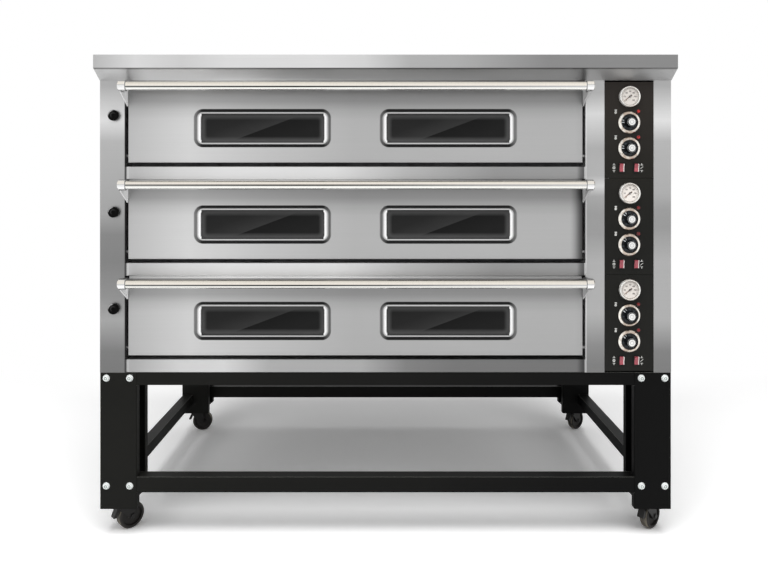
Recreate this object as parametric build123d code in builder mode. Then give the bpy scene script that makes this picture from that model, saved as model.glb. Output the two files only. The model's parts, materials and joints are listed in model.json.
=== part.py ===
"""Three-deck electric bakery oven on a bolted stand with swivel casters.

Millimetres, +Z up, front towards -Y. The origin is on the floor under the middle of the whole
oven, handles and flue spigots included.
"""

import os
from math import cos, radians, sin

from build123d import *

os.makedirs("parts", exist_ok=True)

# ---- Decks and front layout ------------------------------------------------------------------
DECKS = ("lower", "middle", "upper")
BODY_DEPTH = 900.0
LEFT_PILLAR = 74.5
UPRIGHT_WIDTH = 56.5
PANEL_WIDTH = 141.0
RIGHT_STRIP = 52.0
SILL_HEIGHT = 38.0
HEADER_HEIGHT = 8.0
SHEET = 2.0
SHEET_BEND = 3.0
RECESS = 48.0
REAR_LIP = 20.0

# ---- Doors -----------------------------------------------------------------------------------
DOOR_LAP = 40.0
DOOR_HEIGHT = 225.0
DOOR_SIDE_GAP = 8.0
DOOR_TOP_GAP = 6.0
DOOR_BOTTOM_GAP = 11.0
DOOR_OUTER_DEPTH = 28.0
DOOR_INNER_DEPTH = 14.0
DOOR_INNER_MARGIN = 22.0
DOOR_EDGE_RADIUS = 2.5
HINGE_BACK = 20.0
HINGE_UP = 20.0
HINGE_PIN_RADIUS = 5.0
HINGE_PIN_REACH = 5.0
RUNNING_FIT = 0.06

# ---- Door windows ----------------------------------------------------------------------------
WINDOW_COUNT = 2
WINDOW_PITCH = 540.0
WINDOW_DROP = 12.0
GLASS_WIDTH = 359.0
GLASS_HEIGHT = 82.0
GLASS_RADIUS = 11.0
GLASS_THICKNESS = 4.0
GLASS_OVERLAP = 4.0
LIP_SIDE = 11.0
LIP_TOP = 6.0
LIP_HEIGHT = 3.5
LIP_CHAMFER = 1.2
GROOVE_FLOOR = 3.0
GROOVE_RAMP = 6.0
GROOVE_DEPTH = 5.0

# ---- Handles ---------------------------------------------------------------------------------
HANDLE_REACH = 53.0
HANDLE_DROP = 9.0
HANDLE_RADIUS = 12.75
HANDLE_WALL = 1.5
HANDLE_OVERHANG = 11.25
HANDLE_SHIFT = 4.5
CAP_RADIUS = 15.5
CAP_LENGTH = 23.0
CAP_CHAMFER = 2.5
BRACKET_THICKNESS = 3.0
BRACKET_FOOT = 61.0
BRACKET_LAP = 22.0
BRACKET_END_GAP = 3.0
BRACKET_FACE_GAP = 0.6

# ---- Oven chambers ---------------------------------------------------------------------------
CHAMBER_WIDTH = 1240.0
CHAMBER_HEIGHT = 202.0
CHAMBER_DEPTH = 660.0
CHAMBER_RISE = 24.0
HEARTH_THICKNESS = 8.0
HEARTH_GAP = 22.0
HEARTH_CLEARANCE = 2.0
LEDGE_WIDTH = 15.0
LEDGE_THICKNESS = 3.0
ELEMENT_RADIUS = 5.0
ELEMENT_COUNT = 3
ELEMENT_PITCH = 200.0
ELEMENT_CEILING_GAP = 16.0
INSULATION_REAR_GAP = 30.0

# ---- Control panel ---------------------------------------------------------------------------
PANEL_INSET = 1.0
PANEL_SEAM = 0.8
GAUGE_HEIGHT = 240.5
GAUGE_RADIUS = 30.0
GAUGE_STAND = 12.0
GAUGE_BODY_RADIUS = 27.0
GAUGE_BODY_DEPTH = 30.0
DIAL_RADIUS = 25.5
DIAL_SINK = 5.0
NEEDLE_LENGTH = 21.0
NEEDLE_TAIL = 7.0
NEEDLE_ANGLE = 217.0
NEEDLE_THICKNESS = 0.6
NEEDLE_TAIL_WIDTH = 3.6
NEEDLE_TIP_WIDTH = 0.6
NEEDLE_HUB_RADIUS = 3.0
SPINDLE_RADIUS = 1.2
KNOB_HEIGHTS = (91.0, 166.0)
RING_RADIUS = 32.0
RING_WIDTH = 6.6
RING_STAND = 5.5
KNOB_STAND = 24.0
KNOB_HUB_RADIUS = 11.5
KNOB_HUB_FOOT = 3.5
KNOB_HUB_CHAMFER = 1.0
KNOB_GAP = 0.8
SHAFT_RADIUS = 3.0
THERMOSTAT_SIZE = 44.0
THERMOSTAT_DEPTH = 32.0
LAMP_HEIGHTS = (123.0, 198.0)
LAMP_OFFSET = 26.5
LAMP_RADIUS = 4.5
LAMP_STAND = 6.0
LAMP_DOME_RADIUS = 2.7
LAMP_DOME_RISE = 2.4
LAMP_FLANGE_RADIUS = 5.85
LAMP_FLANGE = 1.5
SWITCH_HEIGHT = 34.5
SWITCH_OFFSET = 21.5
ROCKER_WIDTH = 13.5
ROCKER_RADIUS = 12.0
ROCKER_TILT = 8.0
ROCKER_DISH = 1.8
ROCKER_GAP = 0.4
SWITCH_WALL = 1.4
SWITCH_FLANGE = 1.5
SWITCH_DEPTH = 16.0
PANEL_HOLE_GAP = 0.2

# ---- Steam dampers and flues -----------------------------------------------------------------
DAMPER_HEIGHT = 186.0
DAMPER_INSET = 43.0
DAMPER_KNOB_RADIUS = 15.75
DAMPER_KNOB_STAND = 11.0
DAMPER_ROD_RADIUS = 4.0
DAMPER_DISC = 3.0
DAMPER_DISC_LAP = 1.0
DAMPER_DISH = 4.0
DAMPER_DISH_RADIUS = 12.0
DAMPER_LIP = 2.0
DAMPER_GRIP = 7.0
DAMPER_NECK_RADIUS = 10.0
DAMPER_NECK = 2.0
FLUE_RADIUS = 21.0
FLUE_WALL = 1.5
FLUE_INSIDE = 60.0
FLUE_STUB = 30.0
FLUE_COLLAR = 11.0

# ---- Canopy, louvres and cable entry ---------------------------------------------------------
CANOPY_RISE = 29.0
CANOPY_FASCIA = 38.0
CANOPY_OVERHANG = 45.0
LOUVRE_ROWS = 10
LOUVRE_COLUMNS = 2
LOUVRE_LENGTH = 110.0
LOUVRE_SLOT = 7.0
LOUVRE_PITCH = 22.0
LOUVRE_COLUMN_PITCH = 140.0
LOUVRE_REAR_INSET = 220.0
LOUVRE_DROP = 150.0
GLAND_HEIGHT = 70.0
GLAND_INSET = 90.0
GLAND_BORE = 6.0
GLAND_FLATS = 27.0
GLAND_STAND = 24.0
GLAND_NUT_RADIUS = 12.5
GLAND_NUT_CHAMFER = 3.0
GLAND_TAIL = 8.0

# ---- Stand -----------------------------------------------------------------------------------
STAND_TOP = 478.5
LEG_BOTTOM = 82.0
LEG_WIDTH = 107.0
LEG_DEPTH = 98.0
LEG_LIP = 24.0
LEG_STEEL = 3.0
LEG_BEND = 5.0
LEG_CHAMFER = 22.0
RAIL_DEPTH = 38.0
RAIL_WALL = 2.0
TOP_RAIL_HEIGHT = 37.5
LOWER_RAIL_HEIGHT = 45.0
LOWER_RAIL_BOTTOM = 129.0
SIDE_RAIL_HEIGHT = 38.0
SIDE_RAIL_BOTTOM = 120.0
RAIL_NOTCH_GAP = 1.0
RAIL_NOTCH_SIDE_GAP = 0.1
BOLT_INSETS = (19.0, 87.0)
BOLT_HEAD_RADIUS = 10.5
BOLT_HEAD_HEIGHT = 6.0
BOLT_HEAD_SIDES = 12
BOLT_HEAD_TAPER = 30.0
BOLT_SHANK_RADIUS = 5.0
BOLT_HOLE_GAP = 0.3
TOP_BOLT_DROP = 16.5
LOWER_BOLT_HEIGHT = 149.0

# ---- Casters ---------------------------------------------------------------------------------
CASTER_FACING = {"front_left": 45.0, "front_right": 40.0, "rear_left": 5.0, "rear_right": 38.0}
CASTER_TRAIL = 18.0
WHEEL_RADIUS = 38.5
WHEEL_WIDTH = 26.0
WHEEL_TREAD_CHAMFER = 4.0
WHEEL_WEB = 12.0
WHEEL_RIM = 9.0
HUB_RADIUS = 11.0
AXLE_RADIUS = 4.0
AXLE_HEAD_RADIUS = 7.5
AXLE_HEAD = 3.0
CASTER_HEIGHT = 100.0
CASTER_PLATE = 4.0
CASTER_PLATE_SIZE = 84.0
RACE_RADIUS = 24.0
RACE_HEIGHT = 7.0
RACE_TAPER = 12.0
KINGPIN_RADIUS = 6.0
KINGPIN_HEAD_RADIUS = 8.0
KINGPIN_HEAD = 2.0
FORK_STEEL = 3.0
FORK_CROWN_RADIUS = 25.0
FORK_SIDE_GAP = 2.0
FORK_EYE_RADIUS = 10.0
FORK_SHOULDER = 40.0
SWIVEL_GAP = 0.3
BRAKE_PIN_RADIUS = 3.0
BRAKE_PIN_DROP = 14.0
BRAKE_PIN_AHEAD = 19.0
BRAKE_WIDTH = 20.0
BRAKE_THICKNESS = 3.5
BRAKE_REACH = 17.0
BRAKE_DROP = 24.0
BRAKE_SHOE = 9.0

# ---- Places worked out from the sizes --------------------------------------------------------
DOOR_WIDTH = CHAMBER_WIDTH + 2 * DOOR_LAP
OPENING_WIDTH = DOOR_WIDTH + 2 * DOOR_SIDE_GAP
BODY_WIDTH = LEFT_PILLAR + OPENING_WIDTH + UPRIGHT_WIDTH + PANEL_WIDTH + RIGHT_STRIP
DECK_PITCH = SILL_HEIGHT + DOOR_BOTTOM_GAP + DOOR_HEIGHT + DOOR_TOP_GAP
BODY_TOP = STAND_TOP + len(DECKS) * DECK_PITCH + HEADER_HEIGHT
CANOPY_TOP = BODY_TOP + CANOPY_RISE + CANOPY_FASCIA

X_LEFT = -BODY_WIDTH / 2
X_OPEN_LEFT = X_LEFT + LEFT_PILLAR
X_OPEN_RIGHT = X_OPEN_LEFT + OPENING_WIDTH
X_PANEL_LEFT = X_OPEN_RIGHT + UPRIGHT_WIDTH
X_PANEL_RIGHT = X_PANEL_LEFT + PANEL_WIDTH
X_RIGHT = BODY_WIDTH / 2
X_DOOR = (X_OPEN_LEFT + X_OPEN_RIGHT) / 2
X_HANDLE = X_DOOR + HANDLE_SHIFT
X_PANEL = (X_PANEL_LEFT + X_PANEL_RIGHT) / 2
X_DAMPER = X_LEFT + DAMPER_INSET

Y_FRONT = (HANDLE_REACH + CAP_RADIUS - BODY_DEPTH - FLUE_STUB) / 2
Y_REAR = Y_FRONT + BODY_DEPTH
Y_CHAMBER = Y_FRONT + RECESS
Y_PANEL = Y_FRONT + PANEL_INSET
Y_HANDLE = Y_FRONT - HANDLE_REACH
Y_HINGE = Y_FRONT + HINGE_BACK

FRONT_TO_BACK = (0, 1, 0)


def deck_base(level):
    """Height of the underside of a deck's sill."""
    return STAND_TOP + level * DECK_PITCH


def door_bottom(level):
    return deck_base(level) + SILL_HEIGHT + DOOR_BOTTOM_GAP


def chamber_floor(level):
    """Inner floor of a chamber, set down from the ceiling that the deck's pitch fixes."""
    return deck_base(level) + DECK_PITCH + HEADER_HEIGHT - CHAMBER_RISE - CHAMBER_HEIGHT


def window_places(level):
    """Centres of the windows of one door, as (X, Z)."""
    z = door_bottom(level) + DOOR_HEIGHT / 2 - WINDOW_DROP
    first = X_DOOR - WINDOW_PITCH * (WINDOW_COUNT - 1) / 2
    return [(first + WINDOW_PITCH * index, z) for index in range(WINDOW_COUNT)]


def front_plane(y):
    """Upright plane facing the front: local x is X and local y is Z."""
    return Plane(origin=(0, y, 0), x_dir=(1, 0, 0), z_dir=(0, -1, 0))


def side_plane(x):
    """Upright plane facing +X: local x is Y and local y is Z."""
    return Plane(origin=(x, 0, 0), x_dir=(0, 1, 0), z_dir=(1, 0, 0))


def keep(name, *pieces):
    """Write one node, which holds one solid or a group of separate solids."""
    solids = [solid for piece in pieces for solid in piece.solids()]
    node = solids[0] if len(solids) == 1 else Compound(solids)
    node.label = name
    export_step(node, f"parts/{name}.step")


def turned(x, z, outline):
    """Solid of revolution about a front-to-back line, from corners given as (radius, Y)."""
    with BuildPart() as piece:
        with BuildSketch(side_plane(x)):
            with BuildLine():
                Polyline(*[(y, z + radius) for radius, y in outline], close=True)
            make_face()
        revolve(axis=Axis((x, 0, z), FRONT_TO_BACK))
    return piece.part


def upright_fold(corners, side, bottom, top, sheet=SHEET, bend=SHEET_BEND):
    """Folded sheet standing upright, whose outer face follows the corners in plan."""
    with BuildPart() as piece:
        with BuildSketch(Plane.XY.offset(bottom)):
            with BuildLine():
                FilletPolyline(*corners, radius=bend)
                offset(amount=sheet, side=side)
            make_face()
        extrude(amount=top - bottom)
    return piece.part


# ---- Body sheets -----------------------------------------------------------------------------
def body_panels():
    """Left and right outer panels, each folded round the front, and the base pan."""
    left_corners = [
        (X_OPEN_LEFT, Y_CHAMBER),
        (X_OPEN_LEFT, Y_FRONT),
        (X_LEFT, Y_FRONT),
        (X_LEFT, Y_REAR - SHEET),
        (X_LEFT + REAR_LIP, Y_REAR - SHEET),
    ]
    with BuildPart() as left:
        add(upright_fold(left_corners, Side.RIGHT, STAND_TOP, BODY_TOP))
        for level in range(len(DECKS)):
            base = deck_base(level)
            with BuildSketch(front_plane(Y_FRONT)):
                with Locations((X_DAMPER, base + DAMPER_HEIGHT)):
                    Circle(DAMPER_ROD_RADIUS + RUNNING_FIT)
            extrude(amount=-2 * SHEET, mode=Mode.SUBTRACT)
            with BuildSketch(side_plane(X_OPEN_LEFT)):
                with Locations((Y_HINGE, door_bottom(level) + HINGE_UP)):
                    Circle(HINGE_PIN_RADIUS + RUNNING_FIT)
            extrude(amount=-2 * SHEET, mode=Mode.SUBTRACT)

    right_corners = [
        (X_PANEL_RIGHT, Y_CHAMBER),
        (X_PANEL_RIGHT, Y_FRONT),
        (X_RIGHT, Y_FRONT),
        (X_RIGHT, Y_REAR - SHEET),
        (X_RIGHT - REAR_LIP, Y_REAR - SHEET),
    ]
    louvre_y = Y_REAR - LOUVRE_REAR_INSET
    louvre_z = BODY_TOP - LOUVRE_DROP - LOUVRE_PITCH * (LOUVRE_ROWS - 1) / 2
    with BuildPart() as right:
        add(upright_fold(right_corners, Side.LEFT, STAND_TOP, BODY_TOP))
        with BuildSketch(side_plane(X_RIGHT)):
            with Locations((louvre_y, louvre_z)):
                with GridLocations(LOUVRE_COLUMN_PITCH, LOUVRE_PITCH, LOUVRE_COLUMNS, LOUVRE_ROWS):
                    Rectangle(LOUVRE_LENGTH, LOUVRE_SLOT)
        extrude(amount=-2 * SHEET, mode=Mode.SUBTRACT)
        blade_plane = Plane(
            origin=(X_RIGHT - SHEET, louvre_y, louvre_z), x_dir=(1, 0, 0), z_dir=(0, -1, 0)
        )
        for column in range(LOUVRE_COLUMNS):
            shift = LOUVRE_COLUMN_PITCH * (column - (LOUVRE_COLUMNS - 1) / 2)
            with BuildSketch(blade_plane.offset(shift)):
                with GridLocations(0, LOUVRE_PITCH, 1, LOUVRE_ROWS):
                    Polygon(
                        (0, -LOUVRE_SLOT / 2),
                        (0, -LOUVRE_SLOT / 2 - SHEET),
                        (-LOUVRE_SLOT - SHEET, LOUVRE_SLOT / 2),
                        (-LOUVRE_SLOT, LOUVRE_SLOT / 2 + SHEET),
                        align=None,
                    )
            extrude(amount=LOUVRE_LENGTH / 2, both=True)

    with BuildPart() as base_pan:
        with BuildSketch(Plane.XY.offset(STAND_TOP)):
            with Locations((0, (Y_CHAMBER + SHEET + Y_REAR - 2 * SHEET) / 2)):
                Rectangle(BODY_WIDTH - 2 * SHEET, BODY_DEPTH - RECESS - 3 * SHEET)
        extrude(amount=SHEET)
    keep("body_panels", left.part, right.part, base_pan.part)


def rear_panel():
    """Flat screwed-on back with holes for the flues and the cable gland."""
    with BuildPart() as panel:
        with BuildSketch(front_plane(Y_REAR - SHEET)):
            with Locations((0, (STAND_TOP + BODY_TOP) / 2)):
                Rectangle(BODY_WIDTH, BODY_TOP - STAND_TOP)
            for level in range(len(DECKS)):
                with Locations((X_DAMPER, deck_base(level) + DAMPER_HEIGHT)):
                    Circle(FLUE_RADIUS, mode=Mode.SUBTRACT)
            with Locations((X_RIGHT - GLAND_INSET, STAND_TOP + GLAND_HEIGHT)):
                Circle(GLAND_BORE + SHEET, mode=Mode.SUBTRACT)
        extrude(amount=-SHEET)
    keep("rear_panel", panel.part)


def face_frame():
    """Upright between the doors and the controls, the sills and the header above the top door."""
    upright_corners = [
        (X_OPEN_RIGHT, Y_CHAMBER),
        (X_OPEN_RIGHT, Y_FRONT),
        (X_PANEL_LEFT, Y_FRONT),
        (X_PANEL_LEFT, Y_CHAMBER),
    ]
    with BuildPart() as upright:
        add(upright_fold(upright_corners, Side.LEFT, STAND_TOP, BODY_TOP))
        for level in range(len(DECKS)):
            with BuildSketch(side_plane(X_OPEN_RIGHT)):
                with Locations((Y_HINGE, door_bottom(level) + HINGE_UP)):
                    Circle(HINGE_PIN_RADIUS + RUNNING_FIT)
            extrude(amount=2 * SHEET, mode=Mode.SUBTRACT)
    strips = [(deck_base(level), SILL_HEIGHT) for level in range(len(DECKS))]
    strips.append((BODY_TOP - HEADER_HEIGHT, HEADER_HEIGHT))
    pieces = [upright.part]
    for bottom, height in strips:
        with BuildPart() as strip:
            with BuildSketch(side_plane(X_OPEN_LEFT)):
                with BuildLine():
                    FilletPolyline(
                        (Y_CHAMBER, bottom + height),
                        (Y_FRONT, bottom + height),
                        (Y_FRONT, bottom),
                        (Y_CHAMBER, bottom),
                        radius=SHEET_BEND,
                    )
                    offset(amount=SHEET, side=Side.LEFT)
                make_face()
            extrude(amount=OPENING_WIDTH)
        pieces.append(strip.part)
    keep("face_frame", *pieces)


def canopy():
    """Top cover folded from sheet: vertical fascia, slope back to the body, open underneath."""
    with BuildPart() as cover:
        with BuildSketch(side_plane(X_LEFT)):
            with BuildLine():
                Polyline(
                    (Y_FRONT, BODY_TOP),
                    (Y_FRONT - CANOPY_OVERHANG, BODY_TOP + CANOPY_RISE),
                    (Y_FRONT - CANOPY_OVERHANG, CANOPY_TOP),
                    (Y_REAR, CANOPY_TOP),
                    (Y_REAR, BODY_TOP),
                    close=True,
                )
            make_face()
        extrude(amount=BODY_WIDTH)
        underside = cover.faces().filter_by(Axis.Z).sort_by(Axis.Z)[0]
        offset(amount=-SHEET, openings=underside)
    keep("canopy", cover.part)


def insulation():
    """Rock wool block round the three chambers."""
    bottom = STAND_TOP + SHEET
    rear = Y_REAR - INSULATION_REAR_GAP
    front = Y_CHAMBER + SHEET
    with BuildPart() as wool:
        with BuildSketch(front_plane(front)):
            with Locations((X_DOOR, (bottom + BODY_TOP) / 2)):
                Rectangle(OPENING_WIDTH, BODY_TOP - bottom)
        extrude(amount=front - rear)
        for level in range(len(DECKS)):
            with BuildSketch(front_plane(front)):
                with Locations((X_DOOR, chamber_floor(level) + CHAMBER_HEIGHT / 2)):
                    Rectangle(CHAMBER_WIDTH + 2 * SHEET, CHAMBER_HEIGHT + 2 * SHEET)
            extrude(amount=-CHAMBER_DEPTH - SHEET, mode=Mode.SUBTRACT)
    keep("insulation", wool.part)


# ---- Chambers --------------------------------------------------------------------------------
def chamber(level, deck):
    """Enamelled chamber, open in front, with a face flange and ledges for the hearth plate."""
    floor = chamber_floor(level)
    base = deck_base(level)
    middle = (X_DOOR, floor + CHAMBER_HEIGHT / 2)
    ledge_top = floor + HEARTH_GAP
    with BuildPart() as liner:
        with BuildSketch(front_plane(Y_CHAMBER)):
            with Locations((X_DOOR, base + DECK_PITCH / 2)):
                Rectangle(OPENING_WIDTH, DECK_PITCH)
        extrude(amount=-SHEET)
        with BuildSketch(front_plane(Y_CHAMBER)):
            with Locations(middle):
                Rectangle(CHAMBER_WIDTH + 2 * SHEET, CHAMBER_HEIGHT + 2 * SHEET)
        extrude(amount=-CHAMBER_DEPTH - 2 * SHEET)
        with BuildSketch(front_plane(Y_CHAMBER)):
            with Locations(middle):
                Rectangle(CHAMBER_WIDTH, CHAMBER_HEIGHT)
        extrude(amount=-CHAMBER_DEPTH - SHEET, mode=Mode.SUBTRACT)
        for side in (-1, 1):
            with BuildSketch(front_plane(Y_CHAMBER)):
                with Locations((X_DOOR + side * (CHAMBER_WIDTH - LEDGE_WIDTH) / 2, ledge_top)):
                    Rectangle(LEDGE_WIDTH, LEDGE_THICKNESS, align=(Align.CENTER, Align.MAX))
            extrude(amount=-CHAMBER_DEPTH - SHEET)
    keep(f"{deck}_chamber", liner.part)


def hearth_plates():
    """Steel baking plates that lie on the ledges."""
    plates = []
    for level in range(len(DECKS)):
        with BuildPart() as plate:
            with BuildSketch(Plane.XY.offset(chamber_floor(level) + HEARTH_GAP)):
                with Locations((X_DOOR, Y_CHAMBER + SHEET + CHAMBER_DEPTH / 2)):
                    Rectangle(
                        CHAMBER_WIDTH - 2 * HEARTH_CLEARANCE, CHAMBER_DEPTH - 2 * HEARTH_CLEARANCE
                    )
            extrude(amount=HEARTH_THICKNESS)
            front_edges = plate.edges().filter_by(Axis.X).group_by(Axis.Y)[0]
            chamfer(front_edges.sort_by(Axis.Z)[-1:], HEARTH_THICKNESS / 4)
        plates.append(plate.part)
    keep("hearth_plates", *plates)


def heating_elements():
    """Straight tubular elements across each chamber, above and below the baking space."""
    tubes = []
    first = Y_CHAMBER + SHEET + CHAMBER_DEPTH / 2 - ELEMENT_PITCH * (ELEMENT_COUNT - 1) / 2
    for level in range(len(DECKS)):
        floor = chamber_floor(level)
        heights = (floor + HEARTH_GAP / 2, floor + CHAMBER_HEIGHT - ELEMENT_CEILING_GAP)
        for z in heights:
            for index in range(ELEMENT_COUNT):
                with BuildPart() as tube:
                    with BuildSketch(side_plane(X_DOOR - CHAMBER_WIDTH / 2)):
                        with Locations((first + ELEMENT_PITCH * index, z)):
                            Circle(ELEMENT_RADIUS)
                    extrude(amount=CHAMBER_WIDTH)
                tubes.append(tube.part)
    keep("heating_elements", *tubes)


# ---- Doors -----------------------------------------------------------------------------------
def bezel_size(margin):
    """Width, height and corner radius of a line that runs a margin outside the raised lip."""
    return (
        GLASS_WIDTH + 2 * (LIP_SIDE + margin),
        GLASS_HEIGHT + 2 * (LIP_TOP + margin),
        GLASS_RADIUS + LIP_TOP + margin,
    )


def door_outer(level):
    """Front tray of a door: folded edges, and a stamped groove and lip round each window."""
    bottom = door_bottom(level)
    middle = (X_DOOR, bottom + DOOR_HEIGHT / 2)
    windows = window_places(level)
    groove_outer = bezel_size(GROOVE_FLOOR + GROOVE_RAMP)
    groove_inner = bezel_size(GROOVE_FLOOR)
    with BuildPart() as tray:
        with BuildSketch(front_plane(Y_FRONT)):
            with Locations(middle):
                Rectangle(DOOR_WIDTH, DOOR_HEIGHT)
        extrude(amount=-DOOR_OUTER_DEPTH)
        fillet(tray.edges().group_by(Axis.Y)[0], DOOR_EDGE_RADIUS)
        with BuildSketch(front_plane(Y_FRONT + SHEET)):
            with Locations(middle):
                Rectangle(DOOR_WIDTH - 2 * SHEET, DOOR_HEIGHT - 2 * SHEET)
        extrude(amount=-DOOR_OUTER_DEPTH, mode=Mode.SUBTRACT)
        with BuildSketch(front_plane(Y_FRONT + SHEET)):
            with Locations(*windows):
                RectangleRounded(groove_outer[0] + SHEET, groove_outer[1] + SHEET, groove_outer[2])
        extrude(amount=-GROOVE_DEPTH)
        for window in windows:
            with BuildSketch(front_plane(Y_FRONT)):
                with Locations(window):
                    RectangleRounded(*groove_outer)
            with BuildSketch(front_plane(Y_FRONT + GROOVE_DEPTH)):
                with Locations(window):
                    RectangleRounded(*groove_inner)
            loft(mode=Mode.SUBTRACT)
        with BuildSketch(front_plane(Y_FRONT + GROOVE_DEPTH)):
            with Locations(*windows):
                RectangleRounded(*bezel_size(0))
        extrude(amount=LIP_HEIGHT)
        lip_front = Y_FRONT + GROOVE_DEPTH - LIP_HEIGHT
        with BuildSketch(front_plane(lip_front)):
            with Locations(*windows):
                RectangleRounded(GLASS_WIDTH, GLASS_HEIGHT, GLASS_RADIUS)
        extrude(amount=-DOOR_OUTER_DEPTH, mode=Mode.SUBTRACT)
        lip_edges = tray.edges().filter_by_position(Axis.Y, lip_front, lip_front)
        chamfer(lip_edges, LIP_CHAMFER)
    return tray.part


def door_inner(level):
    """Back pan of a door: flange against the front tray and a raised field."""
    bottom = door_bottom(level)
    middle = (X_DOOR, bottom + DOOR_HEIGHT / 2)
    field = (DOOR_WIDTH - 2 * DOOR_INNER_MARGIN, DOOR_HEIGHT - 2 * DOOR_INNER_MARGIN)
    joint_y = Y_FRONT + DOOR_OUTER_DEPTH
    with BuildPart() as pan:
        with BuildSketch(front_plane(joint_y)):
            with Locations(middle):
                Rectangle(DOOR_WIDTH, DOOR_HEIGHT)
        extrude(amount=-SHEET)
        with BuildSketch(front_plane(joint_y)):
            with Locations(middle):
                Rectangle(*field)
        extrude(amount=-DOOR_INNER_DEPTH)
        fillet(pan.edges().group_by(Axis.Y)[-1], DOOR_EDGE_RADIUS)
        with BuildSketch(front_plane(joint_y)):
            with Locations(middle):
                Rectangle(field[0] - 2 * SHEET, field[1] - 2 * SHEET)
        extrude(amount=SHEET - DOOR_INNER_DEPTH, mode=Mode.SUBTRACT)
        with BuildSketch(front_plane(joint_y)):
            with Locations(*window_places(level)):
                Rectangle(GLASS_WIDTH, GLASS_HEIGHT)
        extrude(amount=-DOOR_INNER_DEPTH, mode=Mode.SUBTRACT)
    return pan.part


def door_panes(level):
    """Outer and inner glass of each window."""
    front = Y_FRONT + GROOVE_DEPTH + SHEET
    back = Y_FRONT + DOOR_OUTER_DEPTH + DOOR_INNER_DEPTH - SHEET - GLASS_THICKNESS
    with BuildPart() as panes:
        for y in (front, back):
            with BuildSketch(front_plane(y)):
                with Locations(*window_places(level)):
                    Rectangle(GLASS_WIDTH + 2 * GLASS_OVERLAP, GLASS_HEIGHT + 2 * GLASS_OVERLAP)
            extrude(amount=-GLASS_THICKNESS)
    return panes.part


def window_tunnels(level):
    """Frames that hold the two panes of each window apart."""
    front = Y_FRONT + GROOVE_DEPTH + SHEET + GLASS_THICKNESS
    back = Y_FRONT + DOOR_OUTER_DEPTH + DOOR_INNER_DEPTH - SHEET - GLASS_THICKNESS
    with BuildPart() as tunnels:
        with BuildSketch(front_plane(front)):
            with Locations(*window_places(level)):
                Rectangle(GLASS_WIDTH + 2 * GLASS_OVERLAP, GLASS_HEIGHT + 2 * GLASS_OVERLAP)
                Rectangle(GLASS_WIDTH, GLASS_HEIGHT, mode=Mode.SUBTRACT)
        extrude(amount=front - back)
    return tunnels.part


def hinge_pins(level):
    """Pins on both ends of a door, which turn in the folded edges of the front."""
    reach = DOOR_SIDE_GAP + HINGE_PIN_REACH
    with BuildPart() as pins:
        for side in (-1, 1):
            with BuildSketch(side_plane(X_DOOR + side * DOOR_WIDTH / 2)):
                with Locations((Y_HINGE, door_bottom(level) + HINGE_UP)):
                    Circle(HINGE_PIN_RADIUS)
            extrude(amount=side * reach)
    return pins.part


def bracket_outline(level):
    """Side view of a handle bracket: a strap round the cap that runs down the door's end."""
    door_top = door_bottom(level) + DOOR_HEIGHT
    with BuildSketch(mode=Mode.PRIVATE) as outline:
        with Locations((Y_HANDLE, door_top - HANDLE_DROP)):
            Circle(CAP_RADIUS)
        with Locations((Y_FRONT, door_top)):
            Rectangle(BRACKET_LAP, BRACKET_FOOT, align=(Align.MIN, Align.MAX))
        make_hull()
        with Locations((Y_HANDLE, door_top - HANDLE_DROP)):
            Circle(CAP_RADIUS, mode=Mode.SUBTRACT)
    return outline.sketch


def handle_bracket(level, side):
    """Plate on one end of the door, which flares out sideways as it rises to the cap."""
    z = door_bottom(level) + DOOR_HEIGHT - HANDLE_DROP
    foot = door_bottom(level) + DOOR_HEIGHT - BRACKET_FOOT
    flare = HANDLE_OVERHANG + side * HANDLE_SHIFT - BRACKET_END_GAP
    edge = X_DOOR + side * DOOR_WIDTH / 2
    with BuildPart() as cheek:
        with BuildSketch(front_plane(Y_FRONT - BRACKET_FACE_GAP)):
            with BuildLine():
                Polyline(
                    (edge, foot),
                    (edge + side * flare, z),
                    (edge + side * flare, z + CAP_RADIUS),
                    (edge, z + CAP_RADIUS),
                    close=True,
                )
            make_face()
        extrude(amount=HANDLE_REACH + CAP_RADIUS)
        with BuildSketch(side_plane(edge)):
            add(bracket_outline(level))
        extrude(amount=side * flare, mode=Mode.INTERSECT)
    with BuildPart() as bracket:
        with BuildSketch(side_plane(edge)):
            add(bracket_outline(level))
        extrude(amount=side * BRACKET_THICKNESS)
        add(cheek.part)
    return bracket.part


def handle(level, deck):
    """Long tube with end caps, carried by a tapering bracket on each end of the door."""
    z = door_bottom(level) + DOOR_HEIGHT - HANDLE_DROP
    tube_end = DOOR_WIDTH / 2 + HANDLE_OVERHANG - CAP_LENGTH
    with BuildPart() as tube:
        with BuildSketch(side_plane(X_HANDLE - tube_end)):
            with Locations((Y_HANDLE, z)):
                Circle(HANDLE_RADIUS)
                Circle(HANDLE_RADIUS - HANDLE_WALL, mode=Mode.SUBTRACT)
        extrude(amount=2 * tube_end)
    pieces = [tube.part]
    for side in (-1, 1):
        with BuildPart() as cap:
            with BuildSketch(side_plane(X_HANDLE + side * tube_end)):
                with Locations((Y_HANDLE, z)):
                    Circle(CAP_RADIUS)
            extrude(amount=side * CAP_LENGTH)
            chamfer(cap.edges().filter_by(GeomType.CIRCLE), CAP_CHAMFER)
        pieces.append(cap.part)
        pieces.append(handle_bracket(level, side))
    keep(f"{deck}_door_handle", *pieces)


def door(level, deck):
    keep(
        f"{deck}_door_shell",
        door_outer(level),
        door_inner(level),
        window_tunnels(level),
        hinge_pins(level),
    )
    keep(f"{deck}_door_glass", door_panes(level))
    handle(level, deck)


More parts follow.
